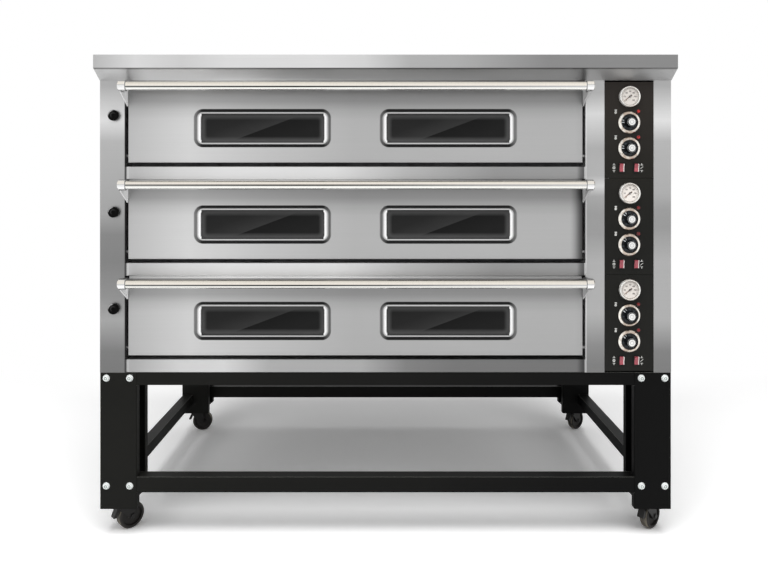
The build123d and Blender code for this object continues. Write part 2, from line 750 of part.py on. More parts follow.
# ---- Controls --------------------------------------------------------------------------------
def control_panels():
    """One black plate per deck, pierced for its instruments."""
    first = STAND_TOP + (BODY_TOP - STAND_TOP - len(DECKS) * DECK_PITCH) / 2
    opening_height = 2 * (ROCKER_RADIUS + ROCKER_GAP + SWITCH_WALL + PANEL_HOLE_GAP)
    opening_width = ROCKER_WIDTH + 2 * (ROCKER_GAP + SWITCH_WALL + PANEL_HOLE_GAP)
    plates = []
    for level in range(len(DECKS)):
        base = deck_base(level)
        with BuildPart() as plate:
            with BuildSketch(front_plane(Y_PANEL)):
                with Locations((X_PANEL, first + DECK_PITCH * (level + 0.5))):
                    Rectangle(PANEL_WIDTH, DECK_PITCH - PANEL_SEAM)
                with Locations((X_PANEL, base + GAUGE_HEIGHT)):
                    Circle(GAUGE_BODY_RADIUS + PANEL_HOLE_GAP, mode=Mode.SUBTRACT)
                for height in KNOB_HEIGHTS:
                    with Locations((X_PANEL, base + height)):
                        Circle(SHAFT_RADIUS + RUNNING_FIT, mode=Mode.SUBTRACT)
                for height in LAMP_HEIGHTS:
                    with Locations((X_PANEL + LAMP_OFFSET, base + height)):
                        Circle(LAMP_RADIUS + PANEL_HOLE_GAP, mode=Mode.SUBTRACT)
                for side in (-1, 1):
                    with Locations((X_PANEL + side * SWITCH_OFFSET, base + SWITCH_HEIGHT)):
                        Rectangle(opening_width, opening_height, mode=Mode.SUBTRACT)
            extrude(amount=-SHEET)
        plates.append(plate.part)
    keep("control_panels", *plates)


def thermometers():
    """Round gauges: rolled bezel, sunk dial with its spindle, and the case behind the panel."""
    dial = Y_PANEL - GAUGE_STAND + DIAL_SINK
    rim = GAUGE_RADIUS - DIAL_RADIUS
    outline = [
        (0, dial - DIAL_SINK / 2),
        (SPINDLE_RADIUS, dial - DIAL_SINK / 2),
        (SPINDLE_RADIUS, dial),
        (DIAL_RADIUS, dial),
        (DIAL_RADIUS + rim / 4, Y_PANEL - GAUGE_STAND),
        (GAUGE_RADIUS - rim / 3, Y_PANEL - GAUGE_STAND),
        (GAUGE_RADIUS, Y_PANEL - GAUGE_STAND + rim / 2),
        (GAUGE_RADIUS, Y_PANEL),
        (GAUGE_BODY_RADIUS, Y_PANEL),
        (GAUGE_BODY_RADIUS, Y_PANEL + GAUGE_BODY_DEPTH),
        (0, Y_PANEL + GAUGE_BODY_DEPTH),
    ]
    heights = [deck_base(level) + GAUGE_HEIGHT for level in range(len(DECKS))]
    keep("thermometers", *[turned(X_PANEL, z, outline) for z in heights])


def needle(level, deck):
    """Pointer that turns on the gauge spindle."""
    z = deck_base(level) + GAUGE_HEIGHT
    back = Y_PANEL - GAUGE_STAND + DIAL_SINK - NEEDLE_THICKNESS
    with BuildPart() as pointer:
        with BuildSketch(front_plane(back)):
            with Locations(Location((X_PANEL, z), NEEDLE_ANGLE)):
                Polygon(
                    (-NEEDLE_TAIL, -NEEDLE_TAIL_WIDTH / 2),
                    (NEEDLE_LENGTH, -NEEDLE_TIP_WIDTH / 2),
                    (NEEDLE_LENGTH, NEEDLE_TIP_WIDTH / 2),
                    (-NEEDLE_TAIL, NEEDLE_TAIL_WIDTH / 2),
                    align=None,
                )
                Circle(NEEDLE_HUB_RADIUS)
                Circle(SPINDLE_RADIUS + RUNNING_FIT, mode=Mode.SUBTRACT)
        extrude(amount=NEEDLE_THICKNESS)
    keep(f"{deck}_thermometer_needle", pointer.part)


def thermostats():
    """Bezel rings on the panel and the thermostat bodies behind it, bored for the knob shafts."""
    inner = RING_RADIUS - RING_WIDTH
    round_in = RING_WIDTH / 3
    outline = [
        (inner, Y_PANEL),
        (inner, Y_PANEL - RING_STAND),
        (RING_RADIUS - round_in, Y_PANEL - RING_STAND),
        (RING_RADIUS, Y_PANEL - RING_STAND + round_in),
        (RING_RADIUS, Y_PANEL),
    ]
    pieces = []
    for level in range(len(DECKS)):
        for height in KNOB_HEIGHTS:
            z = deck_base(level) + height
            pieces.append(turned(X_PANEL, z, outline))
            with BuildPart() as body:
                with BuildSketch(front_plane(Y_PANEL + SHEET)):
                    with Locations((X_PANEL, z)):
                        Rectangle(THERMOSTAT_SIZE, THERMOSTAT_SIZE)
                        Circle(SHAFT_RADIUS + RUNNING_FIT, mode=Mode.SUBTRACT)
                extrude(amount=-THERMOSTAT_DEPTH)
            pieces.append(body.part)
    keep("thermostats", *pieces)


def thermostat_knob(level, deck, height, place):
    """Skirted knob on a shaft: flat dial skirt, waisted hub and a dished front."""
    skirt = RING_RADIUS - RING_WIDTH - KNOB_GAP
    hub = KNOB_HUB_RADIUS
    outline = [
        (0, Y_PANEL + THERMOSTAT_DEPTH / 2),
        (SHAFT_RADIUS, Y_PANEL + THERMOSTAT_DEPTH / 2),
        (SHAFT_RADIUS, Y_PANEL - KNOB_GAP),
        (skirt, Y_PANEL - KNOB_GAP),
        (skirt, Y_PANEL - RING_STAND / 2),
        (hub + KNOB_HUB_FOOT, Y_PANEL - RING_STAND / 2),
        (hub, Y_PANEL - KNOB_STAND / 2),
        (hub, Y_PANEL - KNOB_STAND + KNOB_HUB_CHAMFER),
        (hub - KNOB_HUB_CHAMFER, Y_PANEL - KNOB_STAND),
        (0, Y_PANEL - KNOB_STAND),
    ]
    keep(f"{deck}_{place}_knob", turned(X_PANEL, deck_base(level) + height, outline))


def indicator_lamps():
    """Red pilot lamps with domed lenses."""
    outline = [
        (0, Y_PANEL - LAMP_STAND),
        (LAMP_DOME_RADIUS, Y_PANEL - LAMP_STAND),
        (LAMP_RADIUS, Y_PANEL - LAMP_STAND + LAMP_DOME_RISE),
        (LAMP_RADIUS, Y_PANEL - LAMP_FLANGE),
        (LAMP_FLANGE_RADIUS, Y_PANEL - LAMP_FLANGE),
        (LAMP_FLANGE_RADIUS, Y_PANEL),
        (LAMP_RADIUS, Y_PANEL),
        (LAMP_RADIUS, Y_PANEL + SWITCH_DEPTH),
        (0, Y_PANEL + SWITCH_DEPTH),
    ]
    places = [deck_base(level) + height for level in range(len(DECKS)) for height in LAMP_HEIGHTS]
    keep("indicator_lamps", *[turned(X_PANEL + LAMP_OFFSET, z, outline) for z in places])


def rocker_plane(x, level):
    """Side plane through a rocker's pivot, leaning back by the rest tilt."""
    pivot = (x, Y_PANEL + SHEET, deck_base(level) + SWITCH_HEIGHT)
    lean = radians(ROCKER_TILT)
    return Plane(origin=pivot, x_dir=(0, cos(lean), sin(lean)), z_dir=(1, 0, 0))


def switch_housings():
    """Snap-in frames of the rocker switches, with pivot holes in their cheeks."""
    inner = (ROCKER_WIDTH + 2 * ROCKER_GAP, 2 * (ROCKER_RADIUS + ROCKER_GAP))
    outer = (inner[0] + 2 * SWITCH_WALL, inner[1] + 2 * SWITCH_WALL)
    pieces = []
    for level in range(len(DECKS)):
        for side in (-1, 1):
            x = X_PANEL + side * SWITCH_OFFSET
            middle = (x, deck_base(level) + SWITCH_HEIGHT)
            with BuildPart() as frame:
                with BuildSketch(front_plane(Y_PANEL)):
                    with Locations(middle):
                        Rectangle(outer[0] + 2 * SWITCH_WALL, outer[1] + 2 * SWITCH_WALL)
                extrude(amount=SWITCH_FLANGE)
                with BuildSketch(front_plane(Y_PANEL)):
                    with Locations(middle):
                        Rectangle(*outer)
                extrude(amount=-SWITCH_DEPTH)
                with BuildSketch(front_plane(Y_PANEL - SWITCH_FLANGE)):
                    with Locations(middle):
                        Rectangle(*inner)
                extrude(amount=-SWITCH_DEPTH, mode=Mode.SUBTRACT)
                with BuildSketch(rocker_plane(x, level)):
                    Circle(SWITCH_WALL / 2 + RUNNING_FIT)
                extrude(amount=outer[0] / 2, both=True, mode=Mode.SUBTRACT)
            pieces.append(frame.part)
    keep("switch_housings", *pieces)


def rocker(level, deck, side, place):
    """Rocker with a shallow V face, curved ends about its pivot and two trunnions."""
    plane = rocker_plane(X_PANEL + side * SWITCH_OFFSET, level)
    crest = ROCKER_RADIUS / 2
    with BuildPart() as button:
        with BuildSketch(plane):
            Circle(ROCKER_RADIUS)
            Polygon(
                (-crest, ROCKER_RADIUS),
                (ROCKER_DISH - crest, 0),
                (-crest, -ROCKER_RADIUS),
                (crest, -ROCKER_RADIUS),
                (crest, ROCKER_RADIUS),
                align=None,
                mode=Mode.INTERSECT,
            )
        extrude(amount=ROCKER_WIDTH / 2, both=True)
        with BuildSketch(plane):
            Circle(SWITCH_WALL / 2)
        extrude(amount=ROCKER_WIDTH / 2 + ROCKER_GAP + SWITCH_WALL, both=True)
    keep(f"{deck}_{place}_switch", button.part)


# ---- Steam dampers, flues and cable entry ----------------------------------------------------
def damper_pull(level, deck):
    """Dished knob on a long rod, whose disc closes the inner mouth of the deck's flue."""
    face = Y_FRONT - KNOB_GAP
    front = face - DAMPER_KNOB_STAND
    radius = DAMPER_KNOB_RADIUS
    mouth = Y_REAR - FLUE_INSIDE - KNOB_GAP
    outline = [
        (0, front + DAMPER_DISH),
        (DAMPER_DISH_RADIUS, front),
        (radius - DAMPER_LIP, front),
        (radius, front + DAMPER_LIP),
        (radius, front + DAMPER_GRIP),
        (DAMPER_NECK_RADIUS, face - DAMPER_NECK),
        (DAMPER_NECK_RADIUS, face),
        (DAMPER_ROD_RADIUS, face),
        (DAMPER_ROD_RADIUS, mouth - DAMPER_DISC),
        (FLUE_RADIUS + DAMPER_DISC_LAP, mouth - DAMPER_DISC),
        (FLUE_RADIUS + DAMPER_DISC_LAP, mouth),
        (0, mouth),
    ]
    keep(f"{deck}_damper_pull", turned(X_DAMPER, deck_base(level) + DAMPER_HEIGHT, outline))


def flue_outlets():
    """Steam spigots through the back, each with a collar."""
    outline = [
        (FLUE_RADIUS - FLUE_WALL, Y_REAR - FLUE_INSIDE),
        (FLUE_RADIUS, Y_REAR - FLUE_INSIDE),
        (FLUE_RADIUS, Y_REAR),
        (FLUE_RADIUS + FLUE_COLLAR, Y_REAR),
        (FLUE_RADIUS + FLUE_COLLAR, Y_REAR + SHEET),
        (FLUE_RADIUS, Y_REAR + SHEET),
        (FLUE_RADIUS, Y_REAR + FLUE_STUB),
        (FLUE_RADIUS - FLUE_WALL, Y_REAR + FLUE_STUB),
    ]
    heights = [deck_base(level) + DAMPER_HEIGHT for level in range(len(DECKS))]
    keep("flue_outlets", *[turned(X_DAMPER, z, outline) for z in heights])


def cable_gland():
    """Empty cable gland: hexagon, domed nut and the tail through the back panel."""
    middle = (X_RIGHT - GLAND_INSET, STAND_TOP + GLAND_HEIGHT)
    with BuildPart() as gland:
        with BuildSketch(front_plane(Y_REAR)):
            with Locations(middle):
                RegularPolygon(GLAND_FLATS / 2, 6, major_radius=False)
        extrude(amount=-GLAND_STAND / 2)
        with BuildSketch(front_plane(Y_REAR + GLAND_STAND / 2)):
            with Locations(middle):
                Circle(GLAND_NUT_RADIUS)
        extrude(amount=-GLAND_STAND / 2)
        chamfer(gland.edges().filter_by(GeomType.CIRCLE).sort_by(Axis.Y)[-1], GLAND_NUT_CHAMFER)
        with BuildSketch(front_plane(Y_REAR)):
            with Locations(middle):
                Circle(GLAND_BORE + SHEET)
        extrude(amount=GLAND_TAIL)
        with BuildSketch(front_plane(Y_REAR - GLAND_TAIL)):
            with Locations(middle):
                Circle(GLAND_BORE)
        extrude(amount=-GLAND_STAND - GLAND_TAIL, mode=Mode.SUBTRACT)
    keep("cable_gland", gland.part)


# ---- Stand -----------------------------------------------------------------------------------
def leg_corners(side, front):
    """Plan corners of a lipped channel leg, open towards the middle of the oven."""
    outer = side * BODY_WIDTH / 2
    inner = side * (BODY_WIDTH / 2 - LEG_WIDTH)
    back = front + LEG_DEPTH
    return [
        (inner, front + LEG_LIP),
        (inner, front),
        (outer, front),
        (outer, back),
        (inner, back),
        (inner, back - LEG_LIP),
    ]


def bolt_places(side):
    """Bolt centres on one leg, as (X, Z)."""
    heights = (STAND_TOP - TOP_BOLT_DROP, LOWER_BOLT_HEIGHT)
    return [(side * (BODY_WIDTH / 2 - inset), z) for inset in BOLT_INSETS for z in heights]


def cross_rails():
    """Front and rear rails between the flanges of the legs, as (Y centre, Z bottom, height)."""
    front = Y_FRONT + LEG_STEEL + RAIL_DEPTH / 2
    rear = Y_REAR - LEG_STEEL - RAIL_DEPTH / 2
    levels = [(STAND_TOP - TOP_RAIL_HEIGHT, TOP_RAIL_HEIGHT), (LOWER_RAIL_BOTTOM, LOWER_RAIL_HEIGHT)]
    return [(y, bottom, height) for y in (front, rear) for bottom, height in levels]


def stand_legs():
    """Four lipped channels, notched at their lips where the cross rails enter."""
    legs = []
    for side in (-1, 1):
        for front in (Y_FRONT, Y_REAR - LEG_DEPTH):
            corners = leg_corners(side, front)
            fold = Side.RIGHT if side < 0 else Side.LEFT
            inner = side * (BODY_WIDTH / 2 - LEG_WIDTH)
            bolted_face = front if front == Y_FRONT else Y_REAR - LEG_STEEL
            with BuildPart() as leg:
                add(upright_fold(corners, fold, LEG_BOTTOM, STAND_TOP, LEG_STEEL, LEG_BEND))
                with BuildSketch(side_plane(inner - LEG_BEND)):
                    for y, bottom, height in cross_rails():
                        with Locations((y, bottom + height / 2)):
                            Rectangle(
                                RAIL_DEPTH + 2 * RAIL_NOTCH_SIDE_GAP, height + 2 * RAIL_NOTCH_GAP
                            )
                extrude(amount=2 * LEG_BEND, mode=Mode.SUBTRACT)
                with BuildSketch(front_plane(front + LEG_DEPTH - LEG_LIP)):
                    Polygon(
                        (inner, LEG_BOTTOM),
                        (inner + side * LEG_CHAMFER, LEG_BOTTOM),
                        (inner, LEG_BOTTOM + LEG_CHAMFER),
                        align=None,
                    )
                extrude(amount=-LEG_LIP, mode=Mode.SUBTRACT)
                with BuildSketch(front_plane(bolted_face)):
                    with Locations(*bolt_places(side)):
                        Circle(BOLT_SHANK_RADIUS + BOLT_HOLE_GAP)
                extrude(amount=-LEG_STEEL, mode=Mode.SUBTRACT)
            legs.append(leg.part)
    keep("stand_legs", *legs)


def square_tube(plane, middle, width, height, length):
    """Rectangular tube, drawn in its section and run along the plane's normal."""
    with BuildPart() as tube:
        with BuildSketch(plane):
            with Locations(middle):
                Rectangle(width, height)
                Rectangle(width - 2 * RAIL_WALL, height - 2 * RAIL_WALL, mode=Mode.SUBTRACT)
        extrude(amount=length)
    return tube.part


def stand_rails():
    """Cross rails inside the legs' flanges and side rails from leg to leg."""
    length = BODY_WIDTH - 2 * LEG_BEND
    pieces = []
    for y, bottom, height in cross_rails():
        plane = side_plane(X_LEFT + LEG_BEND)
        pieces.append(square_tube(plane, (y, bottom + height / 2), RAIL_DEPTH, height, length))
    side_levels = (
        (STAND_TOP - TOP_RAIL_HEIGHT, TOP_RAIL_HEIGHT),
        (SIDE_RAIL_BOTTOM, SIDE_RAIL_HEIGHT),
    )
    span = BODY_DEPTH - 2 * LEG_DEPTH
    for side in (-1, 1):
        x = side * (BODY_WIDTH / 2 - LEG_BEND - RAIL_DEPTH / 2)
        for bottom, height in side_levels:
            plane = front_plane(Y_REAR - LEG_DEPTH)
            pieces.append(square_tube(plane, (x, bottom + height / 2), RAIL_DEPTH, height, span))
    keep("stand_rails", *pieces)


def stand_bolts():
    """Domed bolts through the leg faces, at the front and at the back."""
    bolts = []
    for face, out in ((Y_FRONT, 1), (Y_REAR, -1)):
        for side in (-1, 1):
            for place in bolt_places(side):
                with BuildPart() as bolt:
                    with BuildSketch(front_plane(face)):
                        with Locations(place):
                            Circle(BOLT_SHANK_RADIUS)
                    extrude(amount=-out * LEG_STEEL)
                    with BuildSketch(front_plane(face)):
                        with Locations(place):
                            RegularPolygon(BOLT_HEAD_RADIUS, BOLT_HEAD_SIDES)
                    extrude(amount=out * BOLT_HEAD_HEIGHT, taper=BOLT_HEAD_TAPER)
                bolts.append(bolt.part)
    keep("stand_bolts", *bolts)


# ---- Casters ---------------------------------------------------------------------------------
def caster_places():
    """Swivel axis of each caster, as name and (X, Y)."""
    x = BODY_WIDTH / 2 - LEG_WIDTH / 2
    ys = {"front": Y_FRONT + LEG_DEPTH / 2, "rear": Y_REAR - LEG_DEPTH / 2}
    sides = {"left": -1, "right": 1}
    return {name: (sides[name.split("_")[1]] * x, ys[name.split("_")[0]]) for name in CASTER_FACING}


def rolling_plane(place, facing):
    """Upright plane through the swivel axis: local x is the trail, local y is Z."""
    angle = radians(facing)
    return Plane(
        origin=(place[0], place[1], 0),
        x_dir=(cos(angle), sin(angle), 0),
        z_dir=(sin(angle), -cos(angle), 0),
    )


def caster_plates():
    """Top plates with the swivel race and kingpin, one in each leg."""
    crown_top = CASTER_HEIGHT - CASTER_PLATE - RACE_HEIGHT
    kingpin_end = crown_top - SWIVEL_GAP - FORK_STEEL - SWIVEL_GAP
    pieces = []
    for x, y in caster_places().values():
        with BuildPart() as plate:
            with BuildSketch(Plane.XY.offset(CASTER_HEIGHT)):
                with Locations((x, y)):
                    Rectangle(CASTER_PLATE_SIZE, CASTER_PLATE_SIZE)
            extrude(amount=-CASTER_PLATE)
            with BuildSketch(Plane.XY.offset(CASTER_HEIGHT - CASTER_PLATE)):
                with Locations((x, y)):
                    Circle(RACE_RADIUS)
            extrude(amount=-RACE_HEIGHT, taper=RACE_TAPER)
            with BuildSketch(Plane.XY.offset(CASTER_HEIGHT - CASTER_PLATE)):
                with Locations((x, y)):
                    Circle(KINGPIN_RADIUS)
            extrude(amount=kingpin_end - CASTER_HEIGHT + CASTER_PLATE)
            with BuildSketch(Plane.XY.offset(kingpin_end)):
                with Locations((x, y)):
                    Circle(KINGPIN_HEAD_RADIUS)
            extrude(amount=-KINGPIN_HEAD)
        pieces.append(plate.part)
    keep("caster_plates", *pieces)


def caster_fork(name, place, facing):
    """Pressed fork: round crown on the race, two cheeks, the axle and the brake pivot."""
    plane = rolling_plane(place, facing)
    crown_top = CASTER_HEIGHT - CASTER_PLATE - RACE_HEIGHT - SWIVEL_GAP
    cheek_out = WHEEL_WIDTH / 2 + FORK_SIDE_GAP
    cheek_top = crown_top - FORK_STEEL
    brake_z = cheek_top - BRAKE_PIN_DROP
    with BuildPart() as fork:
        with BuildSketch(Plane.XY.offset(crown_top)):
            with Locations(place):
                Circle(FORK_CROWN_RADIUS)
                Circle(KINGPIN_RADIUS + RUNNING_FIT, mode=Mode.SUBTRACT)
        extrude(amount=-FORK_STEEL)
        for side in (-1, 1):
            with BuildSketch(plane.offset(side * cheek_out)):
                with Locations((CASTER_TRAIL, WHEEL_RADIUS)):
                    Circle(FORK_EYE_RADIUS)
                with Locations((0, cheek_top)):
                    Rectangle(FORK_SHOULDER, FORK_STEEL, align=(Align.CENTER, Align.MAX))
                with Locations((-BRAKE_PIN_AHEAD, brake_z)):
                    Circle(BRAKE_PIN_RADIUS * 2)
                make_hull()
            extrude(amount=side * FORK_STEEL)
        with BuildSketch(plane.offset(-cheek_out - FORK_STEEL - AXLE_HEAD)):
            with Locations((CASTER_TRAIL, WHEEL_RADIUS)):
                Circle(AXLE_RADIUS)
            with Locations((-BRAKE_PIN_AHEAD, brake_z)):
                Circle(BRAKE_PIN_RADIUS)
        extrude(amount=2 * (cheek_out + FORK_STEEL + AXLE_HEAD))
        for side in (-1, 1):
            with BuildSketch(plane.offset(side * (cheek_out + FORK_STEEL))):
                with Locations((CASTER_TRAIL, WHEEL_RADIUS)):
                    RegularPolygon(AXLE_HEAD_RADIUS, 6)
            extrude(amount=side * AXLE_HEAD)
    keep(f"{name}_caster_fork", fork.part)


def caster_wheel(name, place, facing):
    """Wheel with a chamfered tread, thin web and hub, bored for the axle."""
    plane = rolling_plane(place, facing)
    centre = plane.from_local_coords((CASTER_TRAIL, WHEEL_RADIUS, 0))
    section = Plane(origin=centre, x_dir=plane.z_dir, z_dir=plane.x_dir)
    half = WHEEL_WIDTH / 2
    bore = AXLE_RADIUS + RUNNING_FIT
    rim = WHEEL_RADIUS - WHEEL_RIM
    with BuildPart() as wheel:
        with BuildSketch(section):
            with BuildLine():
                Polyline(
                    (-half, bore),
                    (-half, HUB_RADIUS),
                    (-WHEEL_WEB / 2, HUB_RADIUS),
                    (-WHEEL_WEB / 2, rim),
                    (-half, rim),
                    (-half, WHEEL_RADIUS - WHEEL_TREAD_CHAMFER),
                    (-half + WHEEL_TREAD_CHAMFER, WHEEL_RADIUS),
                    (half - WHEEL_TREAD_CHAMFER, WHEEL_RADIUS),
                    (half, WHEEL_RADIUS - WHEEL_TREAD_CHAMFER),
                    (half, rim),
                    (WHEEL_WEB / 2, rim),
                    (WHEEL_WEB / 2, HUB_RADIUS),
                    (half, HUB_RADIUS),
                    (half, bore),
                    close=True,
                )
            make_face()
        revolve(axis=Axis(centre, plane.z_dir))
    keep(f"{name}_caster_wheel", wheel.part)


def caster_brake(name, place, facing):
    """Brake pedal: eye on the fork's pivot and a tread plate that slopes down and outwards."""
    plane = rolling_plane(place, facing)
    pin_z = CASTER_HEIGHT - CASTER_PLATE - RACE_HEIGHT - SWIVEL_GAP - FORK_STEEL - BRAKE_PIN_DROP
    eye = BRAKE_PIN_RADIUS + BRAKE_THICKNESS
    with BuildPart() as brake:
        with BuildSketch(plane):
            with Locations((-BRAKE_PIN_AHEAD, pin_z)):
                Circle(eye)
                Polygon(
                    (-eye, 0),
                    (-BRAKE_REACH, -BRAKE_DROP),
                    (-BRAKE_REACH, -BRAKE_DROP - BRAKE_THICKNESS),
                    (BRAKE_SHOE - BRAKE_REACH, -BRAKE_DROP - BRAKE_THICKNESS),
                    (0, -eye),
                    align=None,
                )
                Circle(BRAKE_PIN_RADIUS + RUNNING_FIT, mode=Mode.SUBTRACT)
        extrude(amount=BRAKE_WIDTH / 2, both=True)
    keep(f"{name}_caster_brake", brake.part)


# ---- Build -----------------------------------------------------------------------------------
body_panels()
rear_panel()
face_frame()
canopy()
insulation()
hearth_plates()
heating_elements()
control_panels()
thermometers()
thermostats()
indicator_lamps()
switch_housings()
flue_outlets()
cable_gland()
stand_legs()
stand_rails()
stand_bolts()
caster_plates()

for level, deck in enumerate(DECKS):
    chamber(level, deck)
    door(level, deck)
    needle(level, deck)
    damper_pull(level, deck)
    for height, place in zip(KNOB_HEIGHTS, ("bottom_heat", "top_heat")):
        thermostat_knob(level, deck, height, place)
    for side, place in ((-1, "power"), (1, "light")):
        rocker(level, deck, side, place)

for name, place in caster_places().items():
    facing = CASTER_FACING[name]
    caster_fork(name, place, facing)
    caster_wheel(name, place, facing)
    caster_brake(name, place, facing)
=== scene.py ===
"""Looks of the three-deck bakery oven: materials, small fittings, floor, light and camera."""

import json
import math

import bmesh
import bpy
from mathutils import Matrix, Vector


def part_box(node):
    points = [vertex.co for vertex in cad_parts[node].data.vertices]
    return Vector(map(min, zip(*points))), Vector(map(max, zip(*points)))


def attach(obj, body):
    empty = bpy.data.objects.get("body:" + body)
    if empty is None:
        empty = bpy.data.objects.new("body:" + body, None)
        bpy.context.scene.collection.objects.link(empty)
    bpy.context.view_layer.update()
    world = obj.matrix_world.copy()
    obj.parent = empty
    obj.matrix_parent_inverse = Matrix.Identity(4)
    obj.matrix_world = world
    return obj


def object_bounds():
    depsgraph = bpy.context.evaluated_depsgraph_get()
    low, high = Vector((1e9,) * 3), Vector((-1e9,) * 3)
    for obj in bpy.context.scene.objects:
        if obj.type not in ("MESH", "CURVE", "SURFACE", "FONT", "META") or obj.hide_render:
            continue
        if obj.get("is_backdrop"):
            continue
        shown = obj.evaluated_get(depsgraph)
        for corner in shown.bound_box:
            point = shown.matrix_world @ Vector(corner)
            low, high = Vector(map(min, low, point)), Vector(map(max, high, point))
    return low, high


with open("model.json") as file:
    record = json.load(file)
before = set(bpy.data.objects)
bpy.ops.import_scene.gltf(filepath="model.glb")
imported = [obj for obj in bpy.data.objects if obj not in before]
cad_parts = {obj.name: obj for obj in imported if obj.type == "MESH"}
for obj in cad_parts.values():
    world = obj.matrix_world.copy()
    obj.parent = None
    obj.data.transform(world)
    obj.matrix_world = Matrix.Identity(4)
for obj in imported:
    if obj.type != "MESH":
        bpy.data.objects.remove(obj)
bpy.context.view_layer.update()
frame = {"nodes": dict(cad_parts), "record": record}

DECKS = ("lower", "middle", "upper")


# ---- Places read from the frame --------------------------------------------------------------
door_boxes = [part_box(f"{deck}_door_shell") for deck in DECKS]
glass_boxes = [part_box(f"{deck}_door_glass") for deck in DECKS]
handle_low, handle_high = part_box("lower_door_handle")
gauge_low, gauge_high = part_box("thermometers")
lamp_low, lamp_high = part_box("indicator_lamps")
canopy_low, canopy_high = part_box("canopy")

PITCH = door_boxes[1][0].z - door_boxes[0][0].z
DOOR_BOTTOM = door_boxes[0][0].z
DOOR_HEIGHT = door_boxes[0][1].z - DOOR_BOTTOM
DOOR_FRONT = door_boxes[0][0].y
PANEL_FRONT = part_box("control_panels")[0].y
RING_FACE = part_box("thermostats")[0].y
BODY_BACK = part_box("body_panels")[1].y
GAUGE_RADIUS = (gauge_high.x - gauge_low.x) / 2
GAUGE_Z = gauge_low.z + GAUGE_RADIUS
PANEL_X = (gauge_low.x + gauge_high.x) / 2
BODY_TOP = canopy_low.z
OPENING_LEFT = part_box("face_frame")[0].x
DAMPER_KNOB_RADIUS = 0.016
RING_GROOVE_RADIUS = 0.0254
FRONT_FOLD = 0.006

# Handle caps, and the hinge pins that stand out past the door's sheet.
CAP_RADIUS = 0.0155
CAP_LENGTH = 0.023
PIN_REACH = 0.012
DOOR_RIGHT = door_boxes[0][1].x - PIN_REACH
UPRIGHT_LEFT = DOOR_RIGHT + 0.0055

# Windows: two in each door, each inside a pressed lip and groove.
WINDOW_HALF_PITCH = 0.27
WINDOW_HALF_WIDTH = 0.1795
WINDOW_HALF_HEIGHT = 0.041
WINDOW_BORDER = 0.009
LIP_SIDE = 0.011
LIP_TOP = 0.006
LIP_CORNER = 0.018
GROOVE_WIDTH = 0.0094
GLASS_CORNER = 0.012
WINDOW_X = (glass_boxes[0][0].x + glass_boxes[0][1].x) / 2
WINDOW_Z = (glass_boxes[0][0].z + glass_boxes[0][1].z) / 2


def middle_of(low, high):
    """Middle of a box seen from the front, as (x, z)."""
    return ((low.x + high.x) / 2, (low.z + high.z) / 2)


def islands(node):
    """Boxes of the separate solids of one node, as (low, high), from left to right."""
    mesh = frame["nodes"][node].data
    home = list(range(len(mesh.vertices)))

    def root(index):
        while home[index] != index:
            home[index] = home[home[index]]
            index = home[index]
        return index

    spots = {}
    for vertex in mesh.vertices:
        spot = tuple(round(value, 6) for value in vertex.co)
        home[vertex.index] = spots.setdefault(spot, vertex.index)
    for edge in mesh.edges:
        home[root(edge.vertices[0])] = root(edge.vertices[1])
    groups = {}
    for vertex in mesh.vertices:
        groups.setdefault(root(vertex.index), []).append(frame["nodes"][node].matrix_world @ vertex.co)
    boxes = []
    for points in groups.values():
        low = Vector([min(point[axis] for point in points) for axis in range(3)])
        high = Vector([max(point[axis] for point in points) for axis in range(3)])
        boxes.append((low, high))
    return sorted(boxes, key=lambda box: tuple(box[0]))


def face_beyond(node, at, radius):
    """Foremost y of a node's points that lie further than radius from a front-to-back line."""
    made = frame["nodes"][node]
    points = [made.matrix_world @ vertex.co for vertex in made.data.vertices]
    return min(point.y for point in points if math.hypot(point.x - at[0], point.z - at[1]) > radius)


# ---- Node graphs -----------------------------------------------------------------------------
def linear(value):
    """Scene value of an 8-bit display value."""
    v = value / 255
    return v / 12.92 if v <= 0.04045 else ((v + 0.055) / 1.055) ** 2.4


def rgb(red, green, blue):
    return (linear(red), linear(green), linear(blue), 1.0)


def grey(value):
    return rgb(value, value, value)


